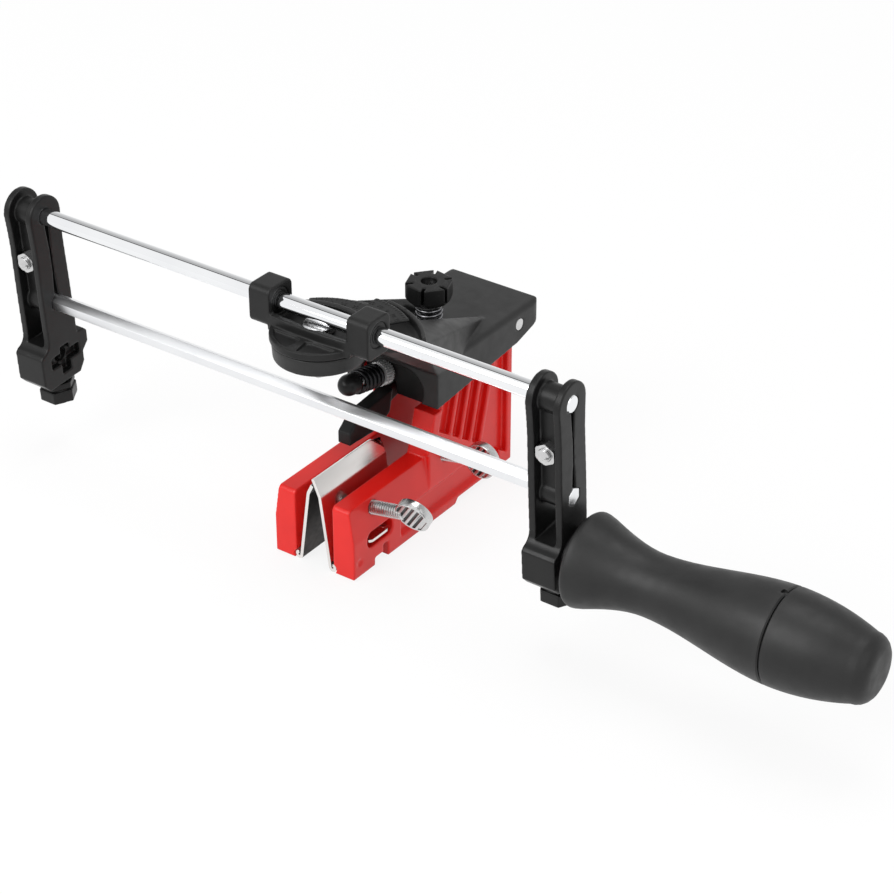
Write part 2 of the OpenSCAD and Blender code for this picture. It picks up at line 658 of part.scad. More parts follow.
// The web that stays between the two flanges
module web_side() {
  circle(rod_d / 2 + boss_wall);
  translate([0, -bar_drop]) circle(bar_flats / 2 + boss_wall + 0.3);
  translate([-web_h, -bar_drop]) square([2 * web_h, bar_drop]);
}

// The slit is narrow where the pinch bolt closes it and wider toward both rods
module pinch_slit() {
  narrow = 0.25;
  wide = 1;
  near = bar_drop / 2 - 5;
  far = bar_drop / 2 + 5;
  polygon([[-wide, 0], [-narrow, -near], [-narrow, -far], [-wide, -bar_drop], [wide, -bar_drop],
    [narrow, -far], [narrow, -near], [wide, 0]]);
}

module bracket(x, socket_from, socket_to) translate([x, 0, 0]) difference() {
  along_x(0, bracket_t) bracket_side();
  along_x(flange_t, bracket_t - flange_t) difference() {
    translate([-20, 7 - file_drop]) square([40, file_drop + 5]);
    web_side();
  }
  along_x(-1, bracket_t + 1) pinch_slit();
  x_bar(rod_d + 0.02, -1, bracket_t + 1, 0, 0);
  hex_bar(bar_flats + 0.02, -1, bracket_t + 1);
  y_bar(pinch_d + 0.04, -20, 20, bracket_t / 2, -bar_drop / 2);
  x_bar(file_d, socket_from, socket_to, 0, -file_drop);
  along_x(-1, socket_depth) {
    translate([-7.2, -2.3 - file_drop]) square([14.4, 4.6]);
    translate([-2.3, -6.4 - file_drop]) square([4.6, 11.2]);
  }
  translate([bracket_t / 2, 0, -foot_bottom - 1])
    cylinder(d = clamp_d + 2 * run_gap, h = foot_bottom - file_drop + 1);
}

module bracket_left() color([0.13, 0.13, 0.14]) in_frame() mirror([1, 0, 0])
  bracket(-left_x, -1, bracket_t + 1);
module bracket_right() color([0.13, 0.13, 0.14]) in_frame() difference() {
  bracket(right_x, -1, bracket_t - 3.4);
  x_bar(handle_bolt_d + 0.02, right_x + bracket_t - 3, right_x + bracket_t + 1, 0, -file_drop);
}

module pinch_bolt(x) in_frame() {
  y_bar(pinch_d, -web_h - pinch_nut_t - 0.5, web_h + 0.2, x, -bar_drop / 2);
  translate([x, web_h + 0.02, -bar_drop / 2]) rotate([-90, 30, 0])
    cylinder(d = pinch_nut_d, h = pinch_head_t, $fn = 6);
}
module pinch_nut(x) in_frame() translate([x, -web_h - 0.02, -bar_drop / 2]) rotate([90, 30, 0]) difference() {
  cylinder(d = pinch_nut_d, h = pinch_nut_t, $fn = 6);
  translate([0, 0, -1]) cylinder(d = pinch_d + 0.04, h = pinch_nut_t + 2);
}
module pinch_bolt_left() color([0.75, 0.76, 0.78]) pinch_bolt(left_x - bracket_t / 2);
module pinch_bolt_right() color([0.75, 0.76, 0.78]) pinch_bolt(right_x + bracket_t / 2);
module pinch_nut_left() color([0.8, 0.81, 0.83]) pinch_nut(left_x - bracket_t / 2);
module pinch_nut_right() color([0.8, 0.81, 0.83]) pinch_nut(right_x + bracket_t / 2);

// Handle, turned about the file's axis: flange, waist, belly and a rounded end
handle_waist_at = 0.272 * handle_len;
handle_belly_at = 0.706 * handle_len;
handle_seam_at = 0.696 * handle_len;
handle_gap = 3.6;
handle_lip = 6.4;
handle_end_r = 5.5;
seam_gap = 0.3;
handle_x = right_x + bracket_t;
function ease(t) = t * t * (3 - 2 * t);
function flare(t) = pow(1 - t, 2) * (1 + 0.5 * t);
function handle_r(s) = s < handle_lip ? handle_flange_r : s < handle_waist_at
  ? handle_waist_r + (handle_flange_r - handle_waist_r)
    * flare((s - handle_lip) / (handle_waist_at - handle_lip))
  : s < handle_belly_at
  ? handle_waist_r + (handle_belly_r - handle_waist_r)
    * ease((s - handle_waist_at) / (handle_belly_at - handle_waist_at))
  : handle_belly_r * (1 - 0.4 * pow((s - handle_belly_at) / (handle_len - handle_belly_at), 2));
module turned_handle() translate([handle_x, 0, -file_drop]) rotate([0, 90, 0]) rotate_extrude() children();

// Outline of the grip, from the flange to the seam
module grip_outline() polygon([[0, handle_gap], [handle_flange_r, handle_gap],
  for (i = [0:20]) let (s = handle_lip + (handle_seam_at - handle_lip) * i / 20) [handle_r(s), s],
  [0, handle_seam_at]]);

// Outline of the end cap, with its flat end rounded over
module cap_outline() {
  from = handle_seam_at + seam_gap;
  to = handle_len - handle_end_r;
  polygon([[0, from], for (i = [0:8]) let (s = from + (to - from) * i / 8) [handle_r(s), s],
    for (a = [15:15:90]) [handle_r(to) - handle_end_r * (1 - cos(a)), to + handle_end_r * sin(a)],
    [0, handle_len]]);
}

module handle_grip() color([0.11, 0.11, 0.12]) in_frame() difference() {
  union() {
    turned_handle() grip_outline();
    x_bar(18, handle_x + 0.02, handle_x + 5, 0, -file_drop);
  }
  x_bar(handle_bolt_d + 0.04, right_x, handle_x + handle_seam_at - 6, 0, -file_drop);
  x_bar(20, handle_x + handle_seam_at - 8, handle_x + handle_seam_at + 1, 0, -file_drop);
}
module handle_end_cap() color([0.1, 0.1, 0.11]) in_frame() union() {
  turned_handle() cap_outline();
  x_bar(19.96, handle_x + handle_seam_at - 7.6, handle_x + handle_seam_at + 1, 0, -file_drop);
}
module handle_bolt() color([0.75, 0.76, 0.78]) in_frame()
  x_bar(handle_bolt_d, handle_x - 3, handle_x + handle_seam_at - 12, 0, -file_drop);

// File clamps under the feet

module clamp_screw(x) in_frame() translate([x, 0, -foot_bottom - file_gap_knob - 6])
  cylinder(d = clamp_d, h = foot_bottom + file_gap_knob + 6 - file_drop - file_d / 2 - face_gap);
module clamp_knob(x) in_frame() translate([x, 0, -foot_bottom - file_gap_knob]) mirror([0, 0, 1])
  difference() {
  union() {
    cylinder(d = 13.4, h = 2.4, $fn = 6);
    cylinder(d = 10.6, h = 4);
    translate([0, 0, 3.2]) cylinder(d = 14, h = 4.8, $fn = 6);
  }
  translate([0, 0, -1]) cylinder(d = clamp_d + 0.02, h = 7.02);
}
module clamp_screw_left() color([0.75, 0.76, 0.78]) clamp_screw(left_x - bracket_t / 2);
module clamp_screw_right() color([0.75, 0.76, 0.78]) clamp_screw(right_x + bracket_t / 2);
module clamp_knob_left() color([0.12, 0.12, 0.13]) clamp_knob(left_x - bracket_t / 2);
module clamp_knob_right() color([0.12, 0.12, 0.13]) clamp_knob(right_x + bracket_t / 2);

clamp_casting();
bar_plate_left();
bar_plate_right();
thumbscrew_front();
thumbscrew_rear();
arm_hinge_pin();
index_arm();
pivot_bolt();
pivot_washer();
pivot_nut();
height_knob();
height_screw();
height_washer();
height_spring();
swivel_guide();
guide_bush_left();
guide_bush_right();
stop_plate();
adjuster_collar();
adjuster_screw();
adjuster_cap();
adjuster_spring();
pawl_carriage();
pawl_pin();
pawl();
upper_rod();
lower_bar();
bracket_left();
bracket_right();
pinch_bolt_left();
pinch_bolt_right();
pinch_nut_left();
pinch_nut_right();
handle_grip();
handle_end_cap();
handle_bolt();
clamp_screw_left();
clamp_knob_left();
clamp_screw_right();
clamp_knob_right();
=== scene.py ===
# %% [markdown]
# # A bar-mounted chainsaw sharpener
# The real tool clamps on a saw's guide bar and carries a round file in a sliding frame. Its parts are
# already built to size as plain solids, one for each piece, and this lesson gives each of them its
# finish: soft mould edges, threads, coils, knurls and the right paint, plastic or steel. The solids are
# loaded first, because every piece made below has to ride on one of their bodies.

# %% Load the frame
import json
import math

import bpy
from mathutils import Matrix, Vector

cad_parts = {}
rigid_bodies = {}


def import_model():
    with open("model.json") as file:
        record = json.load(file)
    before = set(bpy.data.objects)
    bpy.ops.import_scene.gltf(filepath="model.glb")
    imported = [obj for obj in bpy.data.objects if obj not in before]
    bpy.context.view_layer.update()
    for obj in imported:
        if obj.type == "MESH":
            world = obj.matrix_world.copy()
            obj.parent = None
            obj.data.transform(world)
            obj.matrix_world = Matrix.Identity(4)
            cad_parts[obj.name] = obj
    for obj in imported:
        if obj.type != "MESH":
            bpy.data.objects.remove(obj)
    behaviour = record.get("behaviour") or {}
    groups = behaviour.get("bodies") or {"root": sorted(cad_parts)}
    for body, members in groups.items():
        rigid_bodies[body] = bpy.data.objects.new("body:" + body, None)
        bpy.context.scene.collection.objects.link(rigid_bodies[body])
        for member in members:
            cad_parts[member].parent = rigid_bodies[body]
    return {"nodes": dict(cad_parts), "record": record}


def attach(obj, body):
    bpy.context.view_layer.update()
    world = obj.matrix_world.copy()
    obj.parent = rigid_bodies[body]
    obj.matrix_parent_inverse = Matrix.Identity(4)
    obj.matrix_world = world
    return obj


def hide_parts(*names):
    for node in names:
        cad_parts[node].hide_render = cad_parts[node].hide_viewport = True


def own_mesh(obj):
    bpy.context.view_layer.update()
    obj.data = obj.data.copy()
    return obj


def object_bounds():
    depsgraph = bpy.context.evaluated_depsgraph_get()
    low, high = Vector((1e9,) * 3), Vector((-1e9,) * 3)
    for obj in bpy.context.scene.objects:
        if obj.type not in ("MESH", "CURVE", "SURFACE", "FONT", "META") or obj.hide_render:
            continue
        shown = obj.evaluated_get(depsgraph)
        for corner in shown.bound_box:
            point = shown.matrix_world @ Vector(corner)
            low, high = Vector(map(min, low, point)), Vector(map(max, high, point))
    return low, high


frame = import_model()
cad_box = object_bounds()
MM = 0.001

# %% [markdown]
# ## Camera
# The camera stands in front of the tool, to its right and above it, with a long lens, so that the rods
# stay nearly parallel. A long lens from farther away is how small products are usually photographed.

# %% Camera
CAMERA_AT = (0.4737, -0.589, 0.4833)
CAMERA_AZIMUTH = 35.64
CAMERA_ELEVATION = 31.68
CAMERA_LENS = 106.3
bpy.ops.object.select_all(action="DESELECT")
bpy.ops.object.camera_add(
    location=CAMERA_AT, rotation=(math.radians(90 - CAMERA_ELEVATION), 0, math.radians(CAMERA_AZIMUTH)))
camera = bpy.context.object
camera.name = "studio_camera"
camera.data.sensor_width = 36
camera.data.lens = CAMERA_LENS
bpy.context.scene.camera = camera
bpy.context.scene.view_settings.view_transform = "Standard"
print("camera", camera.name, "lens", camera.data.lens)

# %% [markdown]
# ## Light and floor
# Three large soft boxes and an even room light show dark plastic and bright steel at once. Polished rods
# mirror the room, so the room is white with one narrow dark gap overhead, the gap between the soft
# boxes. It draws the thin dark line along the round rod. The floor and the room look white to the camera
# through the Light Path node, which leaves the light on the tool itself at a plain level.

# %% Soft boxes
AIM = Vector((0.03, 0.02, 0.03))


def soft_box(name, place, size, power):
    """A square lamp that points at the tool."""
    bpy.ops.object.select_all(action="DESELECT")
    turn = (AIM - Vector(place)).to_track_quat("-Z", "Y").to_euler()
    bpy.ops.object.light_add(type="AREA", location=place, rotation=turn)
    lamp = bpy.context.object
    lamp.name = name
    lamp.data.size = size
    lamp.data.energy = power
    print("lamp", name, power, "W")


soft_box("soft_box_front", (-0.35, -1.1, 0.9), size=0.9, power=12.0)
soft_box("soft_box_right", (1.2, -0.1, 0.8), size=0.8, power=2.4)
soft_box("soft_box_top", (0.0, 0.25, 1.4), size=0.8, power=6.5)

# %% Room
# Place on the arc from the front over the top to the rear, from 0 to 1, and brightness there
OVERHEAD_BANDS = ((0.0, 1.0), (0.42, 1.0), (0.48, 0.95), (0.486, 0.9), (0.489, 0.0), (0.534, 0.0),
                  (0.537, 0.45), (0.62, 0.5), (1.0, 0.9))
ROOM_LIGHT = 0.62
world = bpy.data.worlds.new("studio_room")
bpy.context.scene.world = world
world.use_nodes = True
tree = world.node_tree
tree.nodes.clear()
path = tree.nodes.new("ShaderNodeLightPath")
direction = tree.nodes.new("ShaderNodeTexCoord")
split = tree.nodes.new("ShaderNodeSeparateXYZ")
tree.links.new(direction.outputs["Generated"], split.inputs[0])
to_front = tree.nodes.new("ShaderNodeMath")
to_front.operation = "MULTIPLY"
to_front.inputs[1].default_value = -1
tree.links.new(split.outputs["Y"], to_front.inputs[0])
height = tree.nodes.new("ShaderNodeMath")
height.operation = "ARCTAN2"
tree.links.new(split.outputs["Z"], height.inputs[0])
tree.links.new(to_front.outputs[0], height.inputs[1])
share = tree.nodes.new("ShaderNodeMath")
share.operation = "DIVIDE"
share.inputs[1].default_value = math.pi
tree.links.new(height.outputs[0], share.inputs[0])
bands = tree.nodes.new("ShaderNodeValToRGB")
for index, (place, level) in enumerate(OVERHEAD_BANDS):
    stops = bands.color_ramp.elements
    stop = stops[index] if index < len(stops) else stops.new(place)
    stop.position = place
    stop.color = (level, level, level, 1)
tree.links.new(share.outputs[0], bands.inputs[0])
mirrored = tree.nodes.new("ShaderNodeBackground")
tree.links.new(bands.outputs[0], mirrored.inputs["Color"])
plain_white = tree.nodes.new("ShaderNodeBackground")
plain_white.inputs["Color"].default_value = (1, 1, 1, 1)
room = tree.nodes.new("ShaderNodeBackground")
room.inputs["Color"].default_value = (1, 1, 1, 1)
room.inputs["Strength"].default_value = ROOM_LIGHT
glossy_mix = tree.nodes.new("ShaderNodeMixShader")
tree.links.new(path.outputs["Is Glossy Ray"], glossy_mix.inputs[0])
tree.links.new(room.outputs[0], glossy_mix.inputs[1])
tree.links.new(mirrored.outputs[0], glossy_mix.inputs[2])
seen = tree.nodes.new("ShaderNodeMath")
seen.operation = "MAXIMUM"
tree.links.new(path.outputs["Is Camera Ray"], seen.inputs[0])
tree.links.new(path.outputs["Is Transmission Ray"], seen.inputs[1])
camera_mix = tree.nodes.new("ShaderNodeMixShader")
tree.links.new(seen.outputs[0], camera_mix.inputs[0])
tree.links.new(glossy_mix.outputs[0], camera_mix.inputs[1])
tree.links.new(plain_white.outputs[0], camera_mix.inputs[2])
world_out = tree.nodes.new("ShaderNodeOutputWorld")
tree.links.new(camera_mix.outputs[0], world_out.inputs["Surface"])
print("room with", len(OVERHEAD_BANDS), "bands")

# %% Floor
FLOOR_WHITE_SHARE = 0.86
FLOOR_GREY = 0.86
FLOOR_SIZE = 8
FLOOR_GAP = 0.0002
bpy.ops.object.select_all(action="DESELECT")
bpy.ops.mesh.primitive_plane_add(size=FLOOR_SIZE, location=(0, 0, cad_box[0][2] - FLOOR_GAP))
floor = bpy.context.object
floor.name = "studio_floor"
bpy.ops.object.transform_apply(location=True, rotation=True, scale=True)
floor_paint = bpy.data.materials.new("pale_floor")
floor_paint.use_nodes = True
tree = floor_paint.node_tree
tree.nodes.clear()
path = tree.nodes.new("ShaderNodeLightPath")
seen = tree.nodes.new("ShaderNodeMath")
seen.operation = "MAXIMUM"
tree.links.new(path.outputs["Is Camera Ray"], seen.inputs[0])
tree.links.new(path.outputs["Is Glossy Ray"], seen.inputs[1])
white_share = tree.nodes.new("ShaderNodeMath")
white_share.operation = "MULTIPLY"
white_share.inputs[1].default_value = FLOOR_WHITE_SHARE
tree.links.new(seen.outputs[0], white_share.inputs[0])
matt = tree.nodes.new("ShaderNodeBsdfDiffuse")
matt.inputs["Color"].default_value = (FLOOR_GREY, FLOOR_GREY, FLOOR_GREY, 1)
white = tree.nodes.new("ShaderNodeEmission")
white.inputs["Color"].default_value = (1, 1, 1, 1)
floor_mix = tree.nodes.new("ShaderNodeMixShader")
tree.links.new(white_share.outputs[0], floor_mix.inputs[0])
tree.links.new(matt.outputs[0], floor_mix.inputs[1])
tree.links.new(white.outputs[0], floor_mix.inputs[2])
floor_out = tree.nodes.new("ShaderNodeOutputMaterial")
tree.links.new(floor_mix.outputs[0], floor_out.inputs["Surface"])
floor.data.materials.append(floor_paint)
print("floor at", round(cad_box[0][2] * 1000, 1), "mm")

# %% [markdown]
# ## Finishes
# Each finish is one material with a texture at its true scale, read in Object coordinates. A helper
# makes the noise, and three more use it: one mottles the colour, one the roughness, and one raises a
# bump. A real surface is never one flat value, and the eye reads small changes in gloss as material.

# %% Helpers for finishes


def new_finish(name, metallic=0.0, shine=0.5, coat=0.0):
    """A material with its main shader, ready for textures."""
    finish = bpy.data.materials.new(name)
    finish.use_nodes = True
    shader = finish.node_tree.nodes["Principled BSDF"]
    shader.inputs["Metallic"].default_value = metallic
    shader.inputs["Specular IOR Level"].default_value = shine
    shader.inputs["Coat Weight"].default_value = coat
    shader.inputs["Coat Roughness"].default_value = 0.08
    return finish


def grain(finish, scale, stretch=(1, 1, 1), detail=4.0):
    """A noise texture in Object coordinates; scale is in waves per metre."""
    tree = finish.node_tree
    where = tree.nodes.new("ShaderNodeTexCoord")
    turn = tree.nodes.new("ShaderNodeMapping")
    turn.inputs["Scale"].default_value = stretch
    noise = tree.nodes.new("ShaderNodeTexNoise")
    noise.inputs["Scale"].default_value = scale
    noise.inputs["Detail"].default_value = detail
    tree.links.new(where.outputs["Object"], turn.inputs["Vector"])
    tree.links.new(turn.outputs["Vector"], noise.inputs["Vector"])
    return noise.outputs["Fac"]


def mottle(finish, source, dark, light):
    """Colour that wanders between two near shades."""
    tree = finish.node_tree
    ramp = tree.nodes.new("ShaderNodeValToRGB")
    ramp.color_ramp.elements[0].position = 0.3
    ramp.color_ramp.elements[0].color = (*dark, 1)
    ramp.color_ramp.elements[1].position = 0.7
    ramp.color_ramp.elements[1].color = (*light, 1)
    tree.links.new(source, ramp.inputs[0])
    tree.links.new(ramp.outputs[0], tree.nodes["Principled BSDF"].inputs["Base Color"])


def gloss(finish, source, smooth, rough):
    """Roughness that wanders between two values."""
    tree = finish.node_tree
    spread = tree.nodes.new("ShaderNodeMapRange")
    spread.inputs["From Min"].default_value = 0.3
    spread.inputs["From Max"].default_value = 0.7
    spread.inputs["To Min"].default_value = smooth
    spread.inputs["To Max"].default_value = rough
    tree.links.new(source, spread.inputs["Value"])
    tree.links.new(spread.outputs[0], tree.nodes["Principled BSDF"].inputs["Roughness"])


def raise_grain(finish, source, height, strength):
    """Bump from the same noise; height is in metres."""
    tree = finish.node_tree
    bump = tree.nodes.new("ShaderNodeBump")
    bump.inputs["Distance"].default_value = height
    bump.inputs["Strength"].default_value = strength
    tree.links.new(source, bump.inputs["Height"])
    tree.links.new(bump.outputs[0], tree.nodes["Principled BSDF"].inputs["Normal"])


# %% [markdown]
# Outer edges are painted a little paler, a painted highlight that stands for the light on their small rounds.
# Blender's Pointiness says how far a spot stands out from what is round it, which is what picks the edges.
# The roots of threads and knurls get the opposite, a painted shade that darkens them.

# %% Painted edge highlights and groove shade


def tint_by_shape(finish, colour, amount, start, end):
    """Mixes a colour in where Pointiness runs from start to end; 0.5 is flat, and amount is from 0 to 1."""
    tree = finish.node_tree
    shader = tree.nodes["Principled BSDF"]
    shape = tree.nodes.new("ShaderNodeNewGeometry")
    edge = tree.nodes.new("ShaderNodeMapRange")
    edge.inputs["From Min"].default_value = start
    edge.inputs["From Max"].default_value = end
    edge.inputs["To Max"].default_value = amount
    tree.links.new(shape.outputs["Pointiness"], edge.inputs["Value"])
    # This mix paints a highlight on outer edges and shade in grooves, by their shape.
    painted_light_mix = tree.nodes.new("ShaderNodeMix")
    painted_light_mix.data_type = "RGBA"
    painted_light_mix.inputs[7].default_value = (*colour, 1)
    tree.links.new(edge.outputs[0], painted_light_mix.inputs[0])
    tree.links.new(shader.inputs["Base Color"].links[0].from_socket, painted_light_mix.inputs[6])
    tree.links.new(painted_light_mix.outputs[2], shader.inputs["Base Color"])


def painted_edge_highlights(finish, colour, amount):
    """Paints a highlight on the outer edges by tinting them towards a paler colour."""
    tint_by_shape(finish, colour, amount, 0.53, 0.66)


def painted_groove_shade(finish, colour, amount):
    """Paints shade into the inner corners by tinting them towards a dark colour."""
    tint_by_shape(finish, colour, amount, 0.498, 0.475)


# %% [markdown]
# The clamp is die cast and sprayed with a red enamel, which flows out with a faint orange peel. The arm,
# the guide, the brackets and the small knobs are black plastic from different moulds, so each has its
# own shade and gloss. The handle has a softer, slightly rougher skin.

# %% Paint and plastic
red_enamel = new_finish("red_enamel", shine=0.3, coat=0.12)
peel = grain(red_enamel, 220, detail=0.0)
mottle(red_enamel, grain(red_enamel, 60), (0.66, 0.010, 0.007), (0.74, 0.014, 0.010))
gloss(red_enamel, grain(red_enamel, 50, detail=1.0), 0.28, 0.34)
raise_grain(red_enamel, peel, 0.00002, 0.05)
# Painted highlight: the outer edges of the enamel are tinted paler.
painted_edge_highlights(red_enamel, (0.82, 0.07, 0.055), 0.15)


def moulded_plastic(name, shade, shine, smooth, rough, pores):
    """A black plastic; smooth and rough are the range of its roughness, pores are per metre of its mould."""
    finish = new_finish(name, shine=shine)
    mottle(finish, grain(finish, 90), (shade * 0.8,) * 3, (shade * 1.2,) * 3)
    gloss(finish, grain(finish, 240), smooth, rough)
    raise_grain(finish, grain(finish, pores), 0.00003, 0.35)
    # Painted highlight: the outer edges of the plastic are tinted paler.
    painted_edge_highlights(finish, (shade * 3,) * 3, 0.5)
    return finish


arm_black = moulded_plastic("arm_black", 0.018, 0.3, 0.36, 0.48, 2400)
guide_black = moulded_plastic("guide_black", 0.012, 0.22, 0.34, 0.46, 2400)
bracket_black = moulded_plastic("bracket_black", 0.008, 0.24, 0.28, 0.4, 2400)
knob_black = moulded_plastic("knob_black", 0.008, 0.2, 0.3, 0.42, 2000)
grip_black = moulded_plastic("grip_black", 0.014, 0.32, 0.4, 0.52, 1500)
PLASTICS = (arm_black, guide_black, bracket_black, knob_black, grip_black)
print("paint", red_enamel.name, "plastic", [finish.name for finish in PLASTICS])

# %% [markdown]
# The rods are bright steel, and their fine lines run lengthwise. The drawn lower bar is duller than the
# ground upper rod. The bent plates are rolled sheet with a bright skin; the faces between them are painted
# very dark, a painted shade for the gap. Screws, nuts and washers are zinc plated, which is a little cloudy;
# the knurled collar gets a paler, less metallic zinc, painted light on a part that sits in shade. The
# springs are wire: one bright and one dark from its oil bath.

# %% Steel


def rod_plating(name, smooth, rough):
    """Bright steel with lengthwise lines; smooth and rough are the range of its roughness."""
    finish = new_finish(name, metallic=1.0)
    lines = grain(finish, 900, stretch=(0.03, 1, 1))
    mottle(finish, grain(finish, 40), (0.84, 0.85, 0.87), (0.9, 0.91, 0.92))
    gloss(finish, lines, smooth, rough)
    raise_grain(finish, lines, 0.00001, 0.02)
    return finish


rod_steel = rod_plating("rod_steel", 0.02, 0.04)
bar_steel = rod_plating("bar_steel", 0.3, 0.36)

sheet_steel = new_finish("sheet_steel", metallic=1.0)
rolled = grain(sheet_steel, 700, stretch=(1, 0.05, 1))
mottle(sheet_steel, grain(sheet_steel, 45), (0.78, 0.75, 0.73), (0.87, 0.85, 0.83))
gloss(sheet_steel, rolled, 0.2, 0.27)
raise_grain(sheet_steel, rolled, 0.00001, 0.05)

# A very dark steel for the faces between the plates: painted shade for the gap between them.
painted_gap_shade = new_finish("painted_gap_shade", metallic=0.7)
mottle(painted_gap_shade, grain(painted_gap_shade, 260), (0.012, 0.01, 0.01), (0.04, 0.033, 0.03))
gloss(painted_gap_shade, grain(painted_gap_shade, 500), 0.32, 0.5)


def zinc_plating(name, shade, metallic, painted_shade_amount):
    """Cloudy zinc of this shade; the last value sets how dark the painted shade in its grooves is, from 0 to
    1.
    """
    finish = new_finish(name, metallic=metallic)
    cloud = grain(finish, 300)
    mottle(finish, cloud, (shade * 0.9,) * 3, (shade * 1.1,) * 3)
    gloss(finish, cloud, 0.2, 0.32)
    raise_grain(finish, grain(finish, 1800), 0.00001, 0.05)
    # Painted shade: the thread and knurl roots are tinted dark.
    painted_groove_shade(finish, (0.02, 0.02, 0.02), painted_shade_amount)
    return finish


zinc_plate = zinc_plating("zinc_plate", 0.62, 1.0, 0.95)
# A paler, less metallic zinc for the knurled collar: painted light on a part that sits in shade under the
# arm.
painted_lit_zinc = zinc_plating("painted_lit_zinc", 0.85, 0.5, 0.3)

# %% Spring wire
bright_wire = new_finish("bright_wire", metallic=1.0)
drawn = grain(bright_wire, 1200)
mottle(bright_wire, drawn, (0.16, 0.16, 0.17), (0.26, 0.26, 0.27))
gloss(bright_wire, drawn, 0.16, 0.26)

dark_wire = new_finish("dark_wire", metallic=1.0)
oiled = grain(dark_wire, 1000)
mottle(dark_wire, oiled, (0.02, 0.02, 0.021), (0.04, 0.04, 0.042))
gloss(dark_wire, oiled, 0.3, 0.42)
STEELS = (rod_steel, bar_steel, sheet_steel, painted_gap_shade, zinc_plate, painted_lit_zinc, bright_wire, dark_wire)
print("steel", [finish.name for finish in STEELS])

# %% [markdown]
# ## Workshop helpers
# An operator works on everything that is selected, so `only` selects one piece. `modify` adds a modifier
# and applies it at once, and `join` makes one piece of several. `settle` puts a finished piece in its
# final place: its turn and place go into the mesh, it is tied to the body it moves with, and the solid
# it stands for is hidden.

# %% Workshop helpers
WELD = 0.000002


def only(piece):
    """Selects this piece alone."""
    bpy.ops.object.select_all(action="DESELECT")
    piece.select_set(True)
    bpy.context.view_layer.objects.active = piece


def modify(piece, kind, **settings):
    """Adds a modifier with these settings and applies it."""
    only(piece)
    bpy.ops.object.modifier_add(type=kind)
    modifier = piece.modifiers[-1]
    for key, value in settings.items():
        setattr(modifier, key, value)
    bpy.ops.object.modifier_apply(modifier=modifier.name)


def pick_faces(piece, test):
    """Selects the faces whose centre and normal pass the test, and stays in edit mode."""
    if piece.mode == "EDIT":
        bpy.ops.object.mode_set(mode="OBJECT")
    only(piece)
    bpy.ops.object.mode_set(mode="EDIT")
    bpy.ops.mesh.select_mode(type="FACE")
    bpy.ops.mesh.select_all(action="DESELECT")
    bpy.ops.object.mode_set(mode="OBJECT")
    for face in piece.data.polygons:
        face.select = test(face.center, face.normal)
    bpy.ops.object.mode_set(mode="EDIT")


def close_up(piece):
    """Merges doubled points and turns all faces outwards."""
    only(piece)
    bpy.ops.object.mode_set(mode="EDIT")
    bpy.ops.mesh.select_all(action="SELECT")
    bpy.ops.mesh.remove_doubles(threshold=WELD)
    bpy.ops.mesh.normals_make_consistent(inside=False)
    bpy.ops.object.mode_set(mode="OBJECT")


def join(main, *others):
    """Puts the places of these pieces into their meshes and joins them into the first."""
    only(main)
    for other in others:
        other.select_set(True)
    bpy.ops.object.transform_apply(location=True, rotation=True, scale=True)
    bpy.ops.object.join()


def body_of_node(node):
    """The body that carries a solid."""
    bodies = frame["record"]["behaviour"]["bodies"]
    return next(name for name, nodes in bodies.items() if node in nodes)


def settle(piece, name, finish, node, stands_for=True, smooth=35):
    """Fixes a finished piece in place, on the body of the given node."""
    only(piece)
    bpy.ops.object.transform_apply(location=True, rotation=True, scale=True)
    bpy.ops.object.shade_smooth_by_angle(angle=math.radians(smooth))
    piece.name = name
    piece.data.name = name
    piece.data.materials.clear()
    piece.data.materials.append(finish)
    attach(piece, body_of_node(node))
    if stands_for:
        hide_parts(node)
    print("piece", name, "faces", len(piece.data.polygons))


# %% [markdown]
# ## Cast and moulded pieces
# A casting or moulding has no sharp edge anywhere, and it is the light on those small rounds that makes
# it look real. A bevel stops at the first short edge it meets, so each solid is copied and knitted again
# as an even net by the Remesh modifier instead. A few passes of Smooth then round every edge and fill
# every inner corner alike, and Decimate drops the squares that a flat face doesn't need.

# %% Soft copies


def loose_copy(node):
    """A copy of a solid, free of its body, with its loose triangles merged."""
    only(frame["nodes"][node])
    bpy.ops.object.duplicate()
    piece = bpy.context.object
    bpy.ops.object.parent_clear(type="CLEAR_KEEP_TRANSFORM")
    for key in list(piece.keys()):
        del piece[key]
    bpy.ops.mesh.customdata_custom_splitnormals_clear()
    bpy.ops.object.mode_set(mode="EDIT")
    bpy.ops.mesh.select_all(action="SELECT")
    bpy.ops.mesh.remove_doubles(threshold=0.0000002)
    bpy.ops.object.mode_set(mode="OBJECT")
    return piece


def soften(piece, net, passes, keep):
    """Knits a piece from squares of net millimetres, smooths it, and keeps this share of its faces."""
    modify(piece, "REMESH", mode="VOXEL", voxel_size=net * MM)
    modify(piece, "SMOOTH", factor=0.5, iterations=passes)
    modify(piece, "DECIMATE", ratio=keep)


def cut_away(piece, tool, operation="DIFFERENCE"):
    """Takes a tool's shape out of a piece, and then the tool is gone."""
    modify(piece, "BOOLEAN", operation=operation, object=tool, solver="EXACT")
    only(tool)
    bpy.ops.object.delete()


def round_bar(radius, depth, place, turn):
    """A round cutting tool; sizes and place in millimetres, turn in degrees."""
    bpy.ops.object.select_all(action="DESELECT")
    bpy.ops.mesh.primitive_cylinder_add(vertices=64, radius=radius * MM, depth=depth * MM,
                                        location=Vector(place) * MM, rotation=[math.radians(a) for a in turn])
    return bpy.context.object


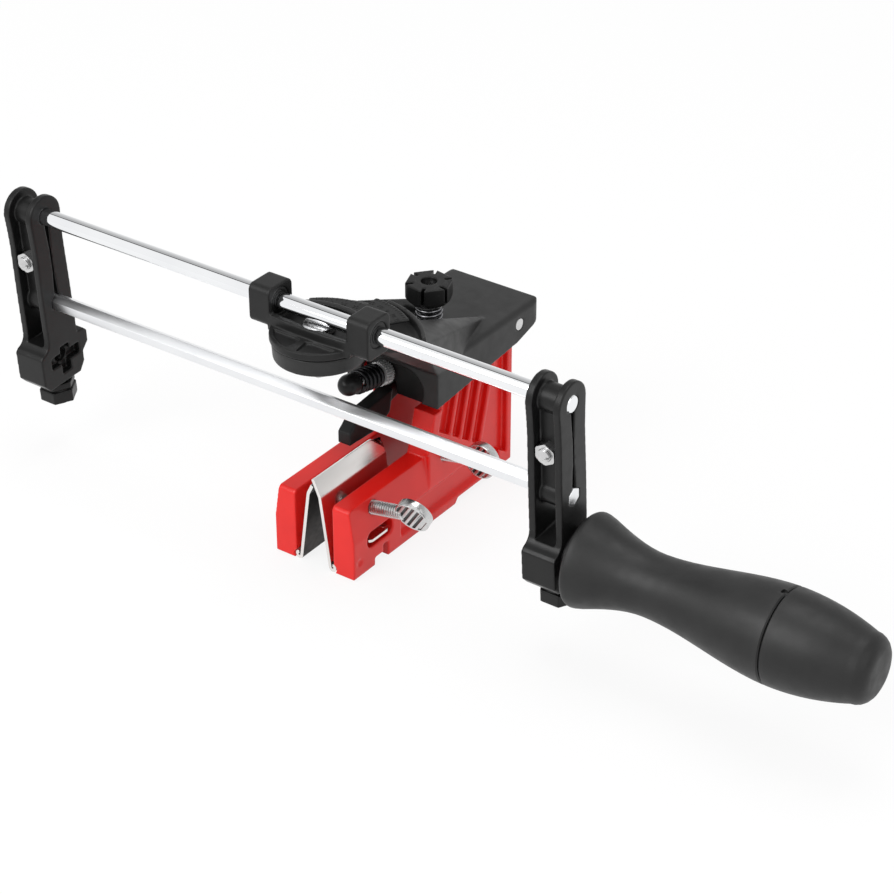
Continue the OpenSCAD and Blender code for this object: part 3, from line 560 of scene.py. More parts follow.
# %% Mouldings
# Solid, finish, net in millimetres, passes of Smooth, share of faces kept
# The stop plate gets the darker knob black, not the arm's black: a painted shade that keeps the inside of the
# arch dark.
MOULDED = (("swivel_guide", guide_black, 0.32, 6, 0.7),
           ("stop_plate", knob_black, 0.4, 2, 1.0),
           ("pawl_carriage", knob_black, 0.3, 3, 1.0),
           ("pawl", knob_black, 0.35, 5, 1.0),
           ("clamp_knob_left", bracket_black, 0.28, 5, 1.0),
           ("clamp_knob_right", bracket_black, 0.28, 5, 1.0))
for node, finish, net, passes, keep in MOULDED:
    skin = loose_copy(node)
    soften(skin, net, passes, keep)
    settle(skin, node + "_skin", finish, node, smooth=60)

# %% [markdown]
# The clamp is one casting. The groove that holds the rolled edge of each bar plate is open at the front
# on the real part, so that the plates can be slid in. It is drilled out before the casting is softened.

# %% Clamp casting
PLATE_HINGE = (7.2, -25.6)
GROOVE_R = 1.95
GROOVE_LEN = 8
GROOVE_MID = -5
clamp = loose_copy("clamp_casting")
for side in (-1, 1):
    groove_at = (side * PLATE_HINGE[0], GROOVE_MID, PLATE_HINGE[1])
    cut_away(clamp, round_bar(GROOVE_R, GROOVE_LEN, groove_at, (90, 0, 0)))
soften(clamp, net=0.3, passes=13, keep=0.28)
settle(clamp, "clamp_casting_skin", red_enamel, "clamp_casting", smooth=60)

# %% [markdown]
# A rounded valley runs down the back of the arm, past the height knob and up to the rim of the dial, and
# leaves the spring in view. The tool that cuts it is a sloped round bar, hollowed where the dial is.

# %% Index arm
VALLEY_R = 13
VALLEY_SLOPE = 19
VALLEY_LEN = 40
VALLEY_MID = (0, 49, 54.2)
DIAL_R = 35.5
DIAL_MID = (0, 0, 50)
DIAL_LEN = 80
arm = loose_copy("index_arm")
valley = round_bar(VALLEY_R, VALLEY_LEN, VALLEY_MID, (90 - VALLEY_SLOPE, 0, 0))
cut_away(valley, round_bar(DIAL_R, DIAL_LEN, DIAL_MID, (0, 0, 0)))
cut_away(arm, valley)
soften(arm, net=0.32, passes=14, keep=0.4)
settle(arm, "index_arm_skin", arm_black, "index_arm", smooth=60)

# %% [markdown]
# The height knob is a moulded hexagon whose lower edge slopes in towards the spring. A cone keeps what
# lies inside it.

# %% Height knob
HEIGHT_Y = 61
KNOB_FOOT = 46.6
KNOB_SHRINK = 0.95
CONE_FOOT_R = 6.4
CONE_TOP_R = 14.8
CONE_H = 8.4
knob = loose_copy("height_knob")
bpy.ops.object.mode_set(mode="EDIT")
bpy.ops.mesh.select_all(action="SELECT")
bpy.ops.transform.resize(value=(KNOB_SHRINK, KNOB_SHRINK, 1),
                         center_override=(0, HEIGHT_Y * MM, KNOB_FOOT * MM))
bpy.ops.object.mode_set(mode="OBJECT")
bpy.ops.object.select_all(action="DESELECT")
bpy.ops.mesh.primitive_cone_add(vertices=64, radius1=CONE_FOOT_R * MM, radius2=CONE_TOP_R * MM,
                                depth=CONE_H * MM, location=(0, HEIGHT_Y * MM, (KNOB_FOOT + CONE_H / 2) * MM))
cut_away(knob, bpy.context.object, operation="INTERSECT")
soften(knob, net=0.22, passes=4, keep=0.8)
settle(knob, "height_knob_skin", knob_black, "height_knob", smooth=60)

# %% [markdown]
# Each bracket is slit between its two rod holes, so that the cross bolt can squeeze it. A net closes so
# fine a slit, so it is cut again with a thin saw blade once the bracket is soft.

# %% Brackets
FRAME_SWING = math.radians(4)
ROD_HEIGHT = 68.5
BRACKET_MIDS = (("left", -127.2), ("right", 92.6))
PINCH_DROP = 17.5
BLADE = (16, 0.8, 31)


def hang_in_frame(piece, along, drop):
    """Places a piece that was made about the X axis in the swung filing frame."""
    piece.location = (along * MM, math.sin(FRAME_SWING) * drop * MM,
                      (ROD_HEIGHT - math.cos(FRAME_SWING) * drop) * MM)
    piece.rotation_euler = (FRAME_SWING, 0, 0)


for side, along in BRACKET_MIDS:
    bracket = loose_copy("bracket_" + side)
    soften(bracket, net=0.28, passes=8, keep=0.45)
    bpy.ops.object.select_all(action="DESELECT")
    bpy.ops.mesh.primitive_cube_add(size=1)
    blade = bpy.context.object
    blade.dimensions = [size * MM for size in BLADE]
    bpy.ops.object.transform_apply(location=True, rotation=True, scale=True)
    hang_in_frame(blade, along, PINCH_DROP)
    cut_away(bracket, blade)
    settle(bracket, "bracket_" + side + "_skin", bracket_black, "bracket_" + side, smooth=60)

# %% [markdown]
# ## Small turned pieces
# Pins, washers, bushes and hidden bolts are turned or stamped parts with a tiny broken edge. Their
# shapes are plain, so flat areas are joined first and a fine bevel is enough.

# %% Small turned pieces


def bevelled_copy(node, edge):
    """A copy with its flat areas joined and its edges broken by a bevel; edge is in millimetres."""
    piece = loose_copy(node)
    only(piece)
    bpy.ops.object.mode_set(mode="EDIT")
    bpy.ops.mesh.select_all(action="SELECT")
    bpy.ops.mesh.dissolve_limited(angle_limit=math.radians(0.5))
    bpy.ops.object.mode_set(mode="OBJECT")
    modify(piece, "BEVEL", width=edge * MM, segments=2, limit_method="ANGLE", angle_limit=math.radians(40))
    return piece


# Solid, finish, width of its broken edge in millimetres
SMALL = (("arm_hinge_pin", zinc_plate, 0.3), ("pivot_bolt", zinc_plate, 0.4),
         ("pivot_washer", zinc_plate, 0.1), ("pivot_nut", zinc_plate, 0.25),
         ("height_washer", zinc_plate, 0.15), ("height_screw", zinc_plate, 0.3),
         ("adjuster_screw", zinc_plate, 0.3), ("pawl_pin", zinc_plate, 0.1), ("handle_bolt", zinc_plate, 0.2),
         ("clamp_screw_left", zinc_plate, 0.3), ("clamp_screw_right", zinc_plate, 0.3),
         ("guide_bush_left", knob_black, 0.15), ("guide_bush_right", knob_black, 0.15))
for node, finish, edge in SMALL:
    settle(bevelled_copy(node, edge), node + "_turned", finish, node)

# %% [markdown]
# ## Turned and wound shapes
# A handle, a rod or a screw thread is one outline carried round an axis. `chain` makes the outline: a
# plane is merged to one point, and the point is extruded from corner to corner. The Screw modifier then
# turns it, and with a rise it makes a thread.

# %% Outlines


def chain(points):
    """An outline of edges through these points, in millimetres."""
    bpy.ops.object.select_all(action="DESELECT")
    bpy.ops.mesh.primitive_plane_add(size=MM)
    bpy.ops.object.mode_set(mode="EDIT")
    bpy.ops.mesh.select_mode(type="VERT")
    bpy.ops.mesh.merge(type="CENTER")
    bpy.ops.transform.translate(value=Vector(points[0]) * MM)
    for before, after in zip(points, points[1:]):
        step = (Vector(after) - Vector(before)) * MM
        bpy.ops.mesh.extrude_region_move(TRANSFORM_OT_translate={"value": step})
    bpy.ops.object.mode_set(mode="OBJECT")
    return bpy.context.object


def turned(profile, steps=96):
    """A solid turned about X from (along, radius) pairs in millimetres."""
    piece = chain([(along, 0, radius) for along, radius in profile])
    modify(piece, "SCREW", axis="X", angle=math.tau, steps=steps, render_steps=steps, use_merge_vertices=True,
           merge_threshold=WELD)
    close_up(piece)
    return piece


# %% [markdown]
# ## Handle
# The grip is turned from a flange, a waist and a belly, and the end cap is pushed into it with a fine
# seam. The outline follows the solid, with the flange and the end rounded over as on the moulding. A
# small notch in the seam keys the cap to the grip, and a Boolean with a rounded block cuts it.

# %% Handle outline
FILE_DROP = 58
HANDLE_FROM = 99
HANDLE_LEN = 109
LIP_AT = 6.4
WAIST = (29.65, 10.5)
BELLY = (76.95, 16.2)
SEAM_AT = 75.86
FLANGE_R = 16.2


def grip_radius(along):
    """Radius of the grip at a distance from the bracket, in millimetres."""
    if along < LIP_AT:
        return FLANGE_R
    if along < WAIST[0]:
        share = (along - LIP_AT) / (WAIST[0] - LIP_AT)
        return WAIST[1] + (FLANGE_R - WAIST[1]) * (1 - share) ** 2 * (1 + 0.5 * share)
    if along < BELLY[0]:
        share = (along - WAIST[0]) / (BELLY[0] - WAIST[0])
        return WAIST[1] + (BELLY[1] - WAIST[1]) * share * share * (3 - 2 * share)
    share = (along - BELLY[0]) / (HANDLE_LEN - BELLY[0])
    return BELLY[1] * (1 - 0.4 * share * share)


def quarter_round(along, radius, size, start):
    """Points of a quarter circle about (along, radius), from an angle given in degrees from the axis."""
    angles = [math.radians(start - 15 * k) for k in range(7)]
    return [(along + size * math.cos(a), radius + size * math.sin(a)) for a in angles]


# %% Handle grip
LIP_R = 1.6
SEAT_GAP = 0.02
BOSS_R = 9
BOSS_LEN = 3.6
LIP_SINK = 0.12
LIP_SINK_END = 8
SEAM_EDGE = 0.5
lip = quarter_round(BOSS_LEN + LIP_R, FLANGE_R - LIP_R, LIP_R, 180)
FLARE_AT = (6.2, 7.2, 8.4, 10, 12, 14, 16, 18.5, 21, 24, 27)
SWELL_AT = (30, 33, 36, 40, 44, 48, 52, 56, 60, 64, 68, 72)
flare = [(s, grip_radius(s) - LIP_SINK * (s < LIP_SINK_END)) for s in FLARE_AT]
swell = [(s, grip_radius(s)) for s in SWELL_AT]
seam_r = grip_radius(SEAM_AT)
boss = [(SEAT_GAP, 0), (SEAT_GAP, BOSS_R), (BOSS_LEN, BOSS_R)]
seam = [(SEAM_AT - SEAM_EDGE, seam_r), (SEAM_AT, seam_r - SEAM_EDGE), (SEAM_AT, 0)]
grip = turned(boss + lip + flare + swell + seam)

# %% Seam notch
NOTCH_TURN = math.radians(-4)
NOTCH_SIZE = 2.2
NOTCH_R = 15.9
NOTCH_BACK = 0.6
bpy.ops.object.select_all(action="DESELECT")
bpy.ops.mesh.primitive_cube_add(size=NOTCH_SIZE * MM, rotation=(NOTCH_TURN, 0, 0), location=(
    (SEAM_AT - NOTCH_BACK) * MM, -NOTCH_R * math.sin(NOTCH_TURN) * MM, NOTCH_R * math.cos(NOTCH_TURN) * MM))
notch = bpy.context.object
modify(notch, "BEVEL", width=0.5 * MM, segments=3)
cut_away(grip, notch)
hang_in_frame(grip, HANDLE_FROM, FILE_DROP)
settle(grip, "handle_grip_skin", grip_black, "handle_grip")

# %% Handle end cap
END_R = 5.5
SEAM_WIDTH = 0.3
END_FROM = HANDLE_LEN - END_R
cap_side = [(s, grip_radius(s)) for s in (79, 82, 85, 88, 91, 94, 97, 100, 102)]
end_round = quarter_round(END_FROM, grip_radius(END_FROM) - END_R, END_R, 90)
cap_from = SEAM_AT + SEAM_WIDTH
cap_seam = [(cap_from, 0), (cap_from, seam_r - SEAM_EDGE), (SEAM_AT + SEAM_WIDTH + SEAM_EDGE, seam_r)]
end_cap = turned(cap_seam + cap_side + end_round + [(HANDLE_LEN, 0)])
hang_in_frame(end_cap, HANDLE_FROM, FILE_DROP)
settle(end_cap, "handle_end_cap_skin", grip_black, "handle_end_cap")

# %% [markdown]
# ## Rods
# The upper rod is round so that it can turn in the guide, and the lower bar is hexagonal so that it
# can't turn in the brackets. Both are cut to length with a small chamfer, which catches the light at
# their ends.

# %% Rods
ROD_FROM = -133.6
ROD_LEN = 232.6
ROD_R = 3
ROD_CHAMFER = 0.3
rod_start = [(0, 0), (0, ROD_R - ROD_CHAMFER), (ROD_CHAMFER, ROD_R)]
rod_end = [(ROD_LEN - ROD_CHAMFER, ROD_R), (ROD_LEN, ROD_R - ROD_CHAMFER), (ROD_LEN, 0)]
rod = turned(rod_start + rod_end, steps=64)
hang_in_frame(rod, ROD_FROM, 0)
settle(rod, "upper_rod_ground", rod_steel, "upper_rod")

BAR_FLATS = 5.5
BAR_CORNER = BAR_FLATS / math.cos(math.radians(30)) / 2
BAR_DROP = 35
bpy.ops.object.select_all(action="DESELECT")
bpy.ops.mesh.primitive_cylinder_add(vertices=6, radius=BAR_CORNER * MM, depth=ROD_LEN * MM,
                                    rotation=(0, 0, math.radians(30)))
bar = bpy.context.object
bpy.ops.object.transform_apply(location=True, rotation=True, scale=True)
bar.rotation_euler = (0, math.radians(90), 0)
bpy.ops.object.transform_apply(location=True, rotation=True, scale=True)
modify(bar, "BEVEL", width=0.25 * MM, segments=3, limit_method="ANGLE", angle_limit=math.radians(30))
hang_in_frame(bar, ROD_FROM + ROD_LEN / 2, BAR_DROP)
settle(bar, "lower_bar_drawn", bar_steel, "lower_bar", smooth=20)

# %% [markdown]
# ## Bent plates
# Two strips of sheet steel lean together in the slot and grip the saw's bar. Each is rolled round its
# lower edge and bent over at the top, where its rear corner is cut round. The section is drawn as an
# outline, pulled out along the slot, and thickened. The faces that look into the gap are painted very
# dark, a painted shade for the gap.

# %% Bent plates
PLATE_T = 1.2
PLATE_LEG = 27
PLATE_FROM = -5.5
PLATE_LEN = 36.5
PLATE_LEAN = 8
CURL_R = 1
BEND_R = 3.5
LIP_OVERLAP = 0.35
CORNER_SHARE = 0.8
# Side, solid, length of the bent lip, its bend in degrees
PLATES = ((1, "bar_plate_right", 7.2, 16), (-1, "bar_plate_left", 4.4, 18))


def round_corner(piece, corner, size):
    """Rounds the sheet's corner that lies at this place, in millimetres."""
    only(piece)
    for point in piece.data.vertices:
        point.select = (point.co - Vector(corner) * MM).length < 0.00002
    bpy.ops.object.mode_set(mode="EDIT")
    bpy.ops.mesh.select_mode(type="VERT")
    bpy.ops.mesh.bevel(offset=size * MM, segments=6, affect="VERTICES")
    bpy.ops.object.mode_set(mode="OBJECT")


def bent_plate(side, top, bend):
    """One plate; side is +1 on the right and -1 on the left."""
    curl_angles = [math.radians(440 - 20 * k) for k in range(14)]
    curl = [(CURL_R * math.cos(a), CURL_R * math.sin(a)) for a in curl_angles]
    start = PLATE_LEG - BEND_R * math.tan(math.radians(bend / 2))
    fold_angles = [math.radians(bend * k / 4) for k in range(5)]
    fold = [(-CURL_R - BEND_R + BEND_R * math.cos(a), start + BEND_R * math.sin(a)) for a in fold_angles]
    end_x, end_z = fold[-1]
    run = top - BEND_R * math.tan(math.radians(bend / 2)) - LIP_OVERLAP
    tip = (end_x - run * math.sin(math.radians(bend)), end_z + run * math.cos(math.radians(bend)))
    section = curl + fold + [tip]
    piece = chain([(side * x, PLATE_FROM, z) for x, z in section])
    bpy.ops.object.mode_set(mode="EDIT")
    bpy.ops.mesh.select_all(action="SELECT")
    bpy.ops.mesh.extrude_region_move(TRANSFORM_OT_translate={"value": (0, PLATE_LEN * MM, 0)})
    bpy.ops.object.mode_set(mode="OBJECT")
    round_corner(piece, (side * tip[0], PLATE_FROM + PLATE_LEN, tip[1]), CORNER_SHARE * run)
    modify(piece, "SOLIDIFY", thickness=PLATE_T * MM, offset=0)
    close_up(piece)
    modify(piece, "BEVEL", width=0.2 * MM, segments=2, limit_method="ANGLE", angle_limit=math.radians(50))
    piece.rotation_euler = (0, math.radians(-side * PLATE_LEAN), 0)
    piece.location = (side * PLATE_HINGE[0] * MM, 0, PLATE_HINGE[1] * MM)
    return piece


for side, name, top, bend in PLATES:
    plate = bent_plate(side, top, bend)
    settle(plate, name + "_sheet", sheet_steel, name)
    # The faces that look into the gap take the very dark steel: painted shade between the plates.
    plate.data.materials.append(painted_gap_shade)
    for face in plate.data.polygons:
        face.material_index = int(face.normal.x * side < -0.5)

# %% [markdown]
# A hook of the same sheet comes out of the right plate through the window in the jaw, so that the plate
# can't fall out. It is a flat strip whose two outer corners are rounded before it gets its thickness.

# %% Plate hook
HOOK_X = (5.0, 16.8)
HOOK_Y = (3.4, 14.8)
HOOK_Z = -16.4
HOOK_T = 1.0
HOOK_CORNER = 2
bpy.ops.object.select_all(action="DESELECT")
bpy.ops.mesh.primitive_plane_add(size=1)
hook = bpy.context.object
hook.dimensions = ((HOOK_X[1] - HOOK_X[0]) * MM, (HOOK_Y[1] - HOOK_Y[0]) * MM, 0)
hook.location = (sum(HOOK_X) / 2 * MM, sum(HOOK_Y) / 2 * MM, HOOK_Z * MM)
bpy.ops.object.transform_apply(location=True, rotation=True, scale=True)
for y in HOOK_Y:
    round_corner(hook, (HOOK_X[1], y, HOOK_Z), HOOK_CORNER)
modify(hook, "SOLIDIFY", thickness=HOOK_T * MM, offset=0)
modify(hook, "BEVEL", width=0.15 * MM, segments=2, limit_method="ANGLE", angle_limit=math.radians(50))
settle(hook, "bar_plate_right_hook", sheet_steel, "bar_plate_right", stands_for=False)

# %% [markdown]
# ## Thumbscrews
# Two screws through the right jaw press on the plates and the bar. Each has a rolled thread and a flat
# cast grip with slanting ribs inside a plain rim. The grip is a disc whose flat faces are inset for the
# rim and cut into slanting strips, and every other strip is pushed in.

# %% Thumbscrews
THREAD_R = 2.5
PITCH = 1.0
GRIP_R = 6.5
GRIP_T = 3.2
GRIP_AT = 16
RIB = 1.0
RIB_H = 0.45
RIM = 0.6
RIB_CUTS = 6
THUMB_LEAN = 11


def thread(radius, pitch, length, steps=24):
    """A threaded shank that starts at the origin and rises along Z."""
    depth = 0.6 * pitch
    piece = chain([(radius - depth, 0, 0), (radius - depth, 0, pitch * 0.2), (radius, 0, pitch * 0.45),
                   (radius, 0, pitch * 0.75), (radius - depth, 0, pitch)])
    modify(piece, "SCREW", axis="Z", angle=math.tau, steps=steps, render_steps=steps, screw_offset=pitch * MM,
           iterations=int(length / pitch), use_merge_vertices=True, merge_threshold=WELD)
    close_up(piece)
    only(piece)
    bpy.ops.object.mode_set(mode="EDIT")
    bpy.ops.mesh.select_all(action="SELECT")
    bpy.ops.mesh.fill_holes(sides=0)
    bpy.ops.mesh.normals_make_consistent(inside=False)
    bpy.ops.object.mode_set(mode="OBJECT")
    return piece


def rib_face(piece, side):
    """Sinks slanting grooves inside a plain rim; side is -1 on the front face and +1 on the rear one."""
    slant = Vector((1, 0, 1)).normalized()

    def on_face(centre, normal):
        return normal.y * side > 0.9

    def inside_rim(centre, normal):
        return on_face(centre, normal) and centre.xz.length < (GRIP_R - RIM) * MM

    def in_groove(centre, normal):
        strip = math.floor(centre.dot(slant) / (RIB * MM))
        return inside_rim(centre, normal) and strip % 2 == 0

    pick_faces(piece, on_face)
    bpy.ops.mesh.inset(thickness=RIM * MM)
    for k in range(-RIB_CUTS, RIB_CUTS + 1):
        pick_faces(piece, inside_rim)
        bpy.ops.mesh.bisect(plane_co=slant * (k * RIB * MM), plane_no=slant)
    pick_faces(piece, in_groove)
    bpy.ops.mesh.extrude_region_move(TRANSFORM_OT_translate={"value": (0, -side * RIB_H * MM, 0)})
    bpy.ops.object.mode_set(mode="OBJECT")


def ribbed_grip():
    """A flat disc across Y with slanting ribs on both faces."""
    bpy.ops.object.select_all(action="DESELECT")
    bpy.ops.mesh.primitive_cylinder_add(vertices=64, radius=GRIP_R * MM, depth=GRIP_T * MM,
                                        rotation=(math.radians(90), 0, 0))
    piece = bpy.context.object
    bpy.ops.object.transform_apply(location=True, rotation=True, scale=True)
    for side in (-1, 1):
        rib_face(piece, side)
    modify(piece, "BEVEL", width=0.12 * MM, segments=2, limit_method="ANGLE", angle_limit=math.radians(40))
    piece.location = (0, 0, GRIP_AT * MM)
    return piece


def thumbscrew(name, node, at, tip, turn):
    """A whole thumbscrew in one piece; tip is how far it reaches into the jaw, turn its grip in degrees."""
    shank = thread(THREAD_R, PITCH, tip + GRIP_AT - GRIP_R + 2)
    shank.location = (0, 0, -tip * MM)
    grip_disc = ribbed_grip()
    grip_disc.rotation_euler = (0, 0, math.radians(turn))
    join(shank, grip_disc)
    shank.location = Vector(at) * MM
    shank.rotation_euler = (0, math.radians(90 - THUMB_LEAN), 0)
    settle(shank, name, zinc_plate, node, smooth=30)


thumbscrew("thumbscrew_front_cast", "thumbscrew_front", at=(17, 7, -4), tip=11.9, turn=22)
thumbscrew("thumbscrew_rear_cast", "thumbscrew_rear", at=(17, 47, -2.6), tip=8.5, turn=0)

# %% [markdown]
# ## Springs
# A spring is one wire on a path, so it is a curve with a round bevel, made a mesh. The end coils lie
# close, as on a spring that is ground flat, and the free coils share the rest of the height.

# %% Springs
STEPS_PER_TURN = 28
FLAT_TURNS = 0.7


def wound_wire(radius, wire, height, turns):
    """A spring along Z from the origin, with flat end coils; sizes in millimetres."""
    rise = height - wire
    flat = FLAT_TURNS
    points = []
    for k in range(int(turns * STEPS_PER_TURN) + 1):
        turn = k / STEPS_PER_TURN
        inner = min(max(turn - flat, 0), turns - 2 * flat) / (turns - 2 * flat)
        dead = min(turn, flat) + max(turn - turns + flat, 0)
        lift = 0.9 * wire * flat
        z = wire / 2 + lift * dead / flat + (rise - 2 * lift) * inner
        points.append((radius * math.cos(math.tau * turn), radius * math.sin(math.tau * turn), z))
    curve = bpy.data.curves.new("spring_path", "CURVE")
    curve.dimensions = "3D"
    curve.bevel_depth = wire / 2 * MM
    curve.bevel_resolution = 3
    curve.use_fill_caps = True
    spline = curve.splines.new("POLY")
    spline.points.add(len(points) - 1)
    for point, (x, y, z) in zip(spline.points, points):
        point.co = (x * MM, y * MM, z * MM, 1)
    piece = bpy.data.objects.new("spring", curve)
    bpy.context.scene.collection.objects.link(piece)
    only(piece)
    bpy.ops.object.convert(target="MESH")
    return bpy.context.object


SPRING_SEAT = 36.62
height_spring = wound_wire(radius=4.3, wire=1.4, height=8.96, turns=4.4)
height_spring.location = (0, HEIGHT_Y * MM, SPRING_SEAT * MM)
settle(height_spring, "height_spring_wire", bright_wire, "height_spring", smooth=60)
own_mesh(height_spring)

ADJUSTER_AT = Vector((-4.6, 17, 31))
ADJUSTER_SLOPE = math.radians(-12)
ADJUSTER_SPRING_AT = 7.2


def on_adjuster(piece, along):
    """Places a piece that was made along Z on the sloped axis of the chain stop."""
    run = Vector((0, math.cos(ADJUSTER_SLOPE), math.sin(ADJUSTER_SLOPE)))
    piece.location = (ADJUSTER_AT + run * along) * MM
    piece.rotation_euler = (ADJUSTER_SLOPE - math.radians(90), 0, 0)


adjuster_spring = wound_wire(radius=3.6, wire=1.5, height=13, turns=5.6)
on_adjuster(adjuster_spring, ADJUSTER_SPRING_AT)
settle(adjuster_spring, "adjuster_spring_wire", dark_wire, "adjuster_spring", smooth=60)

# %% [markdown]
# ## Chain-stop cap and collar
# The cap is a smooth plastic thimble over the end of the adjuster screw. The steel collar behind the
# spring is knurled with straight ribs for the fingers: every other side face of a many-sided cylinder is
# pulled out.

# %% Cap and collar
CAP_R = 3.8
CAP_LEN = 7
CAP_EDGE = 0.5
CAP_TIP = 0.01
dome_angles = [math.radians(10 * k) for k in range(1, 10)]
dome = [(CAP_R - CAP_R * math.cos(a), CAP_R * math.sin(a)) for a in dome_angles]
cap_foot = [(CAP_LEN - CAP_EDGE, CAP_R), (CAP_LEN, CAP_R - CAP_EDGE), (CAP_LEN, 0)]
cap = turned([(CAP_TIP, 0)] + dome + cap_foot, steps=48)
cap.rotation_euler = (0, math.radians(-90), 0)
bpy.ops.object.transform_apply(location=True, rotation=True, scale=True)
on_adjuster(cap, 0)
settle(cap, "adjuster_cap_thimble", knob_black, "adjuster_cap")

COLLAR_R = 4.4
COLLAR_LEN = 4.2
COLLAR_AT = 20.4
KNURLS = 28
KNURL_H = 0.35
bpy.ops.object.select_all(action="DESELECT")
bpy.ops.mesh.primitive_cylinder_add(vertices=2 * KNURLS, radius=(COLLAR_R - KNURL_H) * MM,
                                    depth=COLLAR_LEN * MM, location=(0, 0, COLLAR_LEN / 2 * MM))
collar = bpy.context.object
bpy.ops.object.transform_apply(location=True, rotation=True, scale=True)
rib_turn = math.tau / KNURLS
pick_faces(collar, lambda centre, normal: abs(normal.z) < 0.1
           and math.floor(math.atan2(centre.y, centre.x) / (rib_turn / 2)) % 2 == 0)
bpy.ops.mesh.extrude_faces_move(TRANSFORM_OT_shrink_fatten={"value": KNURL_H * MM})
bpy.ops.object.mode_set(mode="OBJECT")
modify(collar, "BEVEL", width=0.08 * MM, segments=1, limit_method="ANGLE", angle_limit=math.radians(50))
on_adjuster(collar, COLLAR_AT)
# The collar takes the paler, less metallic zinc: painted light, since it sits in shade under the arm.
settle(collar, "adjuster_collar_knurled", painted_lit_zinc, "adjuster_collar", smooth=30)

# %% [markdown]
# ## Pinch nuts and bolts
# A cross bolt squeezes each bracket on its rods. The nut is a hexagon whose corners are turned off,
# which a real nut gets on a lathe: a hexagonal prism is kept only where it is inside a sphere. The
# bolt's threaded end stands out of it.

# %% Pinch nuts and bolts
NUT_R = 4
NUT_T = 3.3
NUT_SEAT = 3.42
NUT_PLAY = 0.15
NUT_BALL = 4.12
HEAD_T = 3
HEAD_BALL = 4.1
PINCH_R = 2.25
PINCH_PITCH = 0.7
PINCH_LEN = 11.2


def chamfered_hexagon(radius, thickness, ball):
    """A hexagonal prism along Z from the origin, with its corners turned off."""
    bpy.ops.object.select_all(action="DESELECT")
    bpy.ops.mesh.primitive_cylinder_add(vertices=6, radius=radius * MM, depth=thickness * MM,
                                        location=(0, 0, thickness / 2 * MM))
    prism = bpy.context.object
    bpy.ops.object.transform_apply(location=True, rotation=True, scale=True)
    bpy.ops.object.select_all(action="DESELECT")
    bpy.ops.mesh.primitive_uv_sphere_add(segments=64, ring_count=48, radius=ball * MM,
                                         location=(0, 0, thickness / 2 * MM))
    tool = bpy.context.object
    cut_away(prism, tool, operation="INTERSECT")
    return prism


def face_front(piece, along, out):
    """Turns a piece made along Z to the front of the swung frame, at the pinch bolt's height."""
    only(piece)
    piece.rotation_euler = (math.radians(90), 0, 0)
    piece.location = (0, out * MM, 0)
    bpy.ops.object.transform_apply(location=True, rotation=True, scale=True)
    hang_in_frame(piece, along, PINCH_DROP)


for side, along in BRACKET_MIDS:
    nut = chamfered_hexagon(NUT_R, NUT_T, NUT_BALL)
    cut_away(nut, round_bar(PINCH_R + NUT_PLAY, 3 * NUT_T, (0, 0, 0), (0, 0, 0)))
    face_front(nut, along, -NUT_SEAT)
    settle(nut, "pinch_nut_" + side + "_hex", zinc_plate, "pinch_nut_" + side, smooth=25)
    bolt = thread(PINCH_R, PINCH_PITCH, PINCH_LEN, steps=20)
    head = chamfered_hexagon(NUT_R, HEAD_T, HEAD_BALL)
    head.location = (0, 0, -HEAD_T * MM)
    join(bolt, head)
    face_front(bolt, along, NUT_SEAT)
    settle(bolt, "pinch_bolt_" + side + "_hex", zinc_plate, "pinch_bolt_" + side, smooth=25)

# %% [markdown]
# ## Angle scale
# The filing angle is read on a scale moulded into the guide's fan, against a small arrow on the arm's
# rim. One tick is modelled and copied round the pivot, and the numbers are text made into a mesh. They
# stand up by a tenth of a millimetre, in the same black as the fan.

# %% Angle scale
FAN_TOP = 61.05
RIM_TOP = 59.5
NUMBER_SIZE = 2.4
NUMBER_HALF_T = 0.06
NUMBER_LIFT = 0.04
TICK = (0.3, 1.2, 0.2)


def round_pivot(piece, angle, radius, height):
    """Places a flat piece on the dial, at an angle from the rear in degrees."""
    a = math.radians(angle)
    piece.location = (radius * math.sin(a) * MM, radius * math.cos(a) * MM, height * MM)
    piece.rotation_euler = (0, 0, -a)


def dial_number(words, angle, radius):
    """A raised number on the fan."""
    bpy.ops.object.select_all(action="DESELECT")
    bpy.ops.object.text_add()
    piece = bpy.context.object
    piece.data.body = words
    piece.data.align_x = "CENTER"
    piece.data.align_y = "CENTER"
    piece.data.size = NUMBER_SIZE * MM
    piece.data.extrude = NUMBER_HALF_T * MM
    bpy.ops.object.convert(target="MESH")
    round_pivot(bpy.context.object, angle, radius, FAN_TOP + NUMBER_LIFT)
    return bpy.context.object


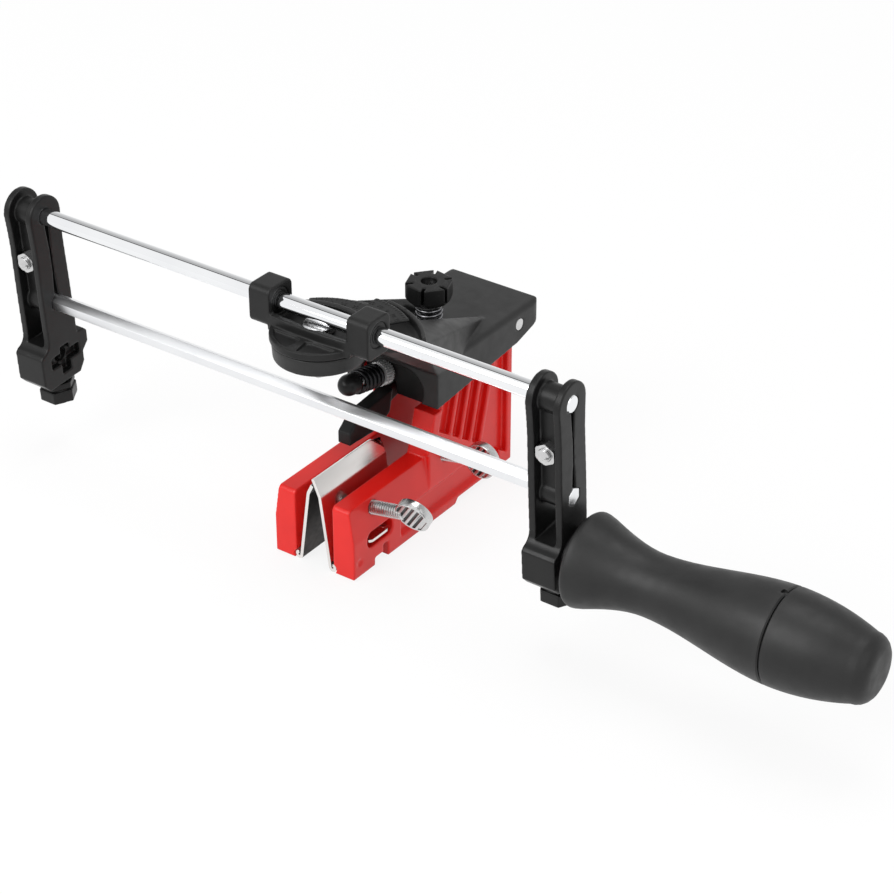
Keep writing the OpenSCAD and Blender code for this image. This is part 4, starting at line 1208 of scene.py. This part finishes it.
bpy.ops.object.select_all(action="DESELECT")
bpy.ops.mesh.primitive_cube_add(size=1)
tick = bpy.context.object
tick.dimensions = [size * MM for size in TICK]
bpy.ops.object.transform_apply(location=True, rotation=True, scale=True)
modify(tick, "BEVEL", width=0.06 * MM, segments=2)

# %% Dial marks
# Radius of the ticks, radius of the numbers, angles of the numbers, numbers
MARKS = ((29.9, 27.0, (2.5, 10.5, 18.5, 26.5, 34.0), ("20", "10", "0", "10", "20")),
         (24.5, 21.6, (-40.0, -28.0, -16.0, -4.0), ("35", "30", "25", "20")))
TICKS_PER_NUMBER = 3
marks = []
for tick_r, number_r, angles, numbers in MARKS:
    for angle, number in zip(angles, numbers):
        marks.append(dial_number(number, angle, number_r))
    step = (angles[1] - angles[0]) / TICKS_PER_NUMBER
    for k in range(TICKS_PER_NUMBER * (len(angles) - 1) + 1):
        only(tick)
        bpy.ops.object.duplicate()
        round_pivot(bpy.context.object, angles[0] + step * k, tick_r, FAN_TOP)
        marks.append(bpy.context.object)
only(tick)
bpy.ops.object.delete()
join(*marks)
settle(marks[0], "angle_scale", guide_black, "swivel_guide", stands_for=False)

# %% Index arrow
ARROW_R = 0.75
ARROW_H = 0.4
ARROW_SINK = 0.2
ARROW_TAPER = 0.7
ARROW_ANGLE = 18.5
ARROW_AT = 34.25
bpy.ops.object.select_all(action="DESELECT")
bpy.ops.mesh.primitive_circle_add(vertices=3, radius=ARROW_R * MM, fill_type="NGON",
                                  rotation=(0, 0, math.radians(180)))
arrow = bpy.context.object
bpy.ops.object.transform_apply(location=True, rotation=True, scale=True)
bpy.ops.object.mode_set(mode="EDIT")
bpy.ops.mesh.select_all(action="SELECT")
bpy.ops.mesh.extrude_region_move(TRANSFORM_OT_translate={"value": (0, 0, ARROW_H * MM)})
bpy.ops.transform.resize(value=(ARROW_TAPER, ARROW_TAPER, 1))
bpy.ops.object.mode_set(mode="OBJECT")
close_up(arrow)
round_pivot(arrow, ARROW_ANGLE, ARROW_AT, RIM_TOP - ARROW_SINK)
settle(arrow, "index_arrow", arm_black, "index_arm", stands_for=False)
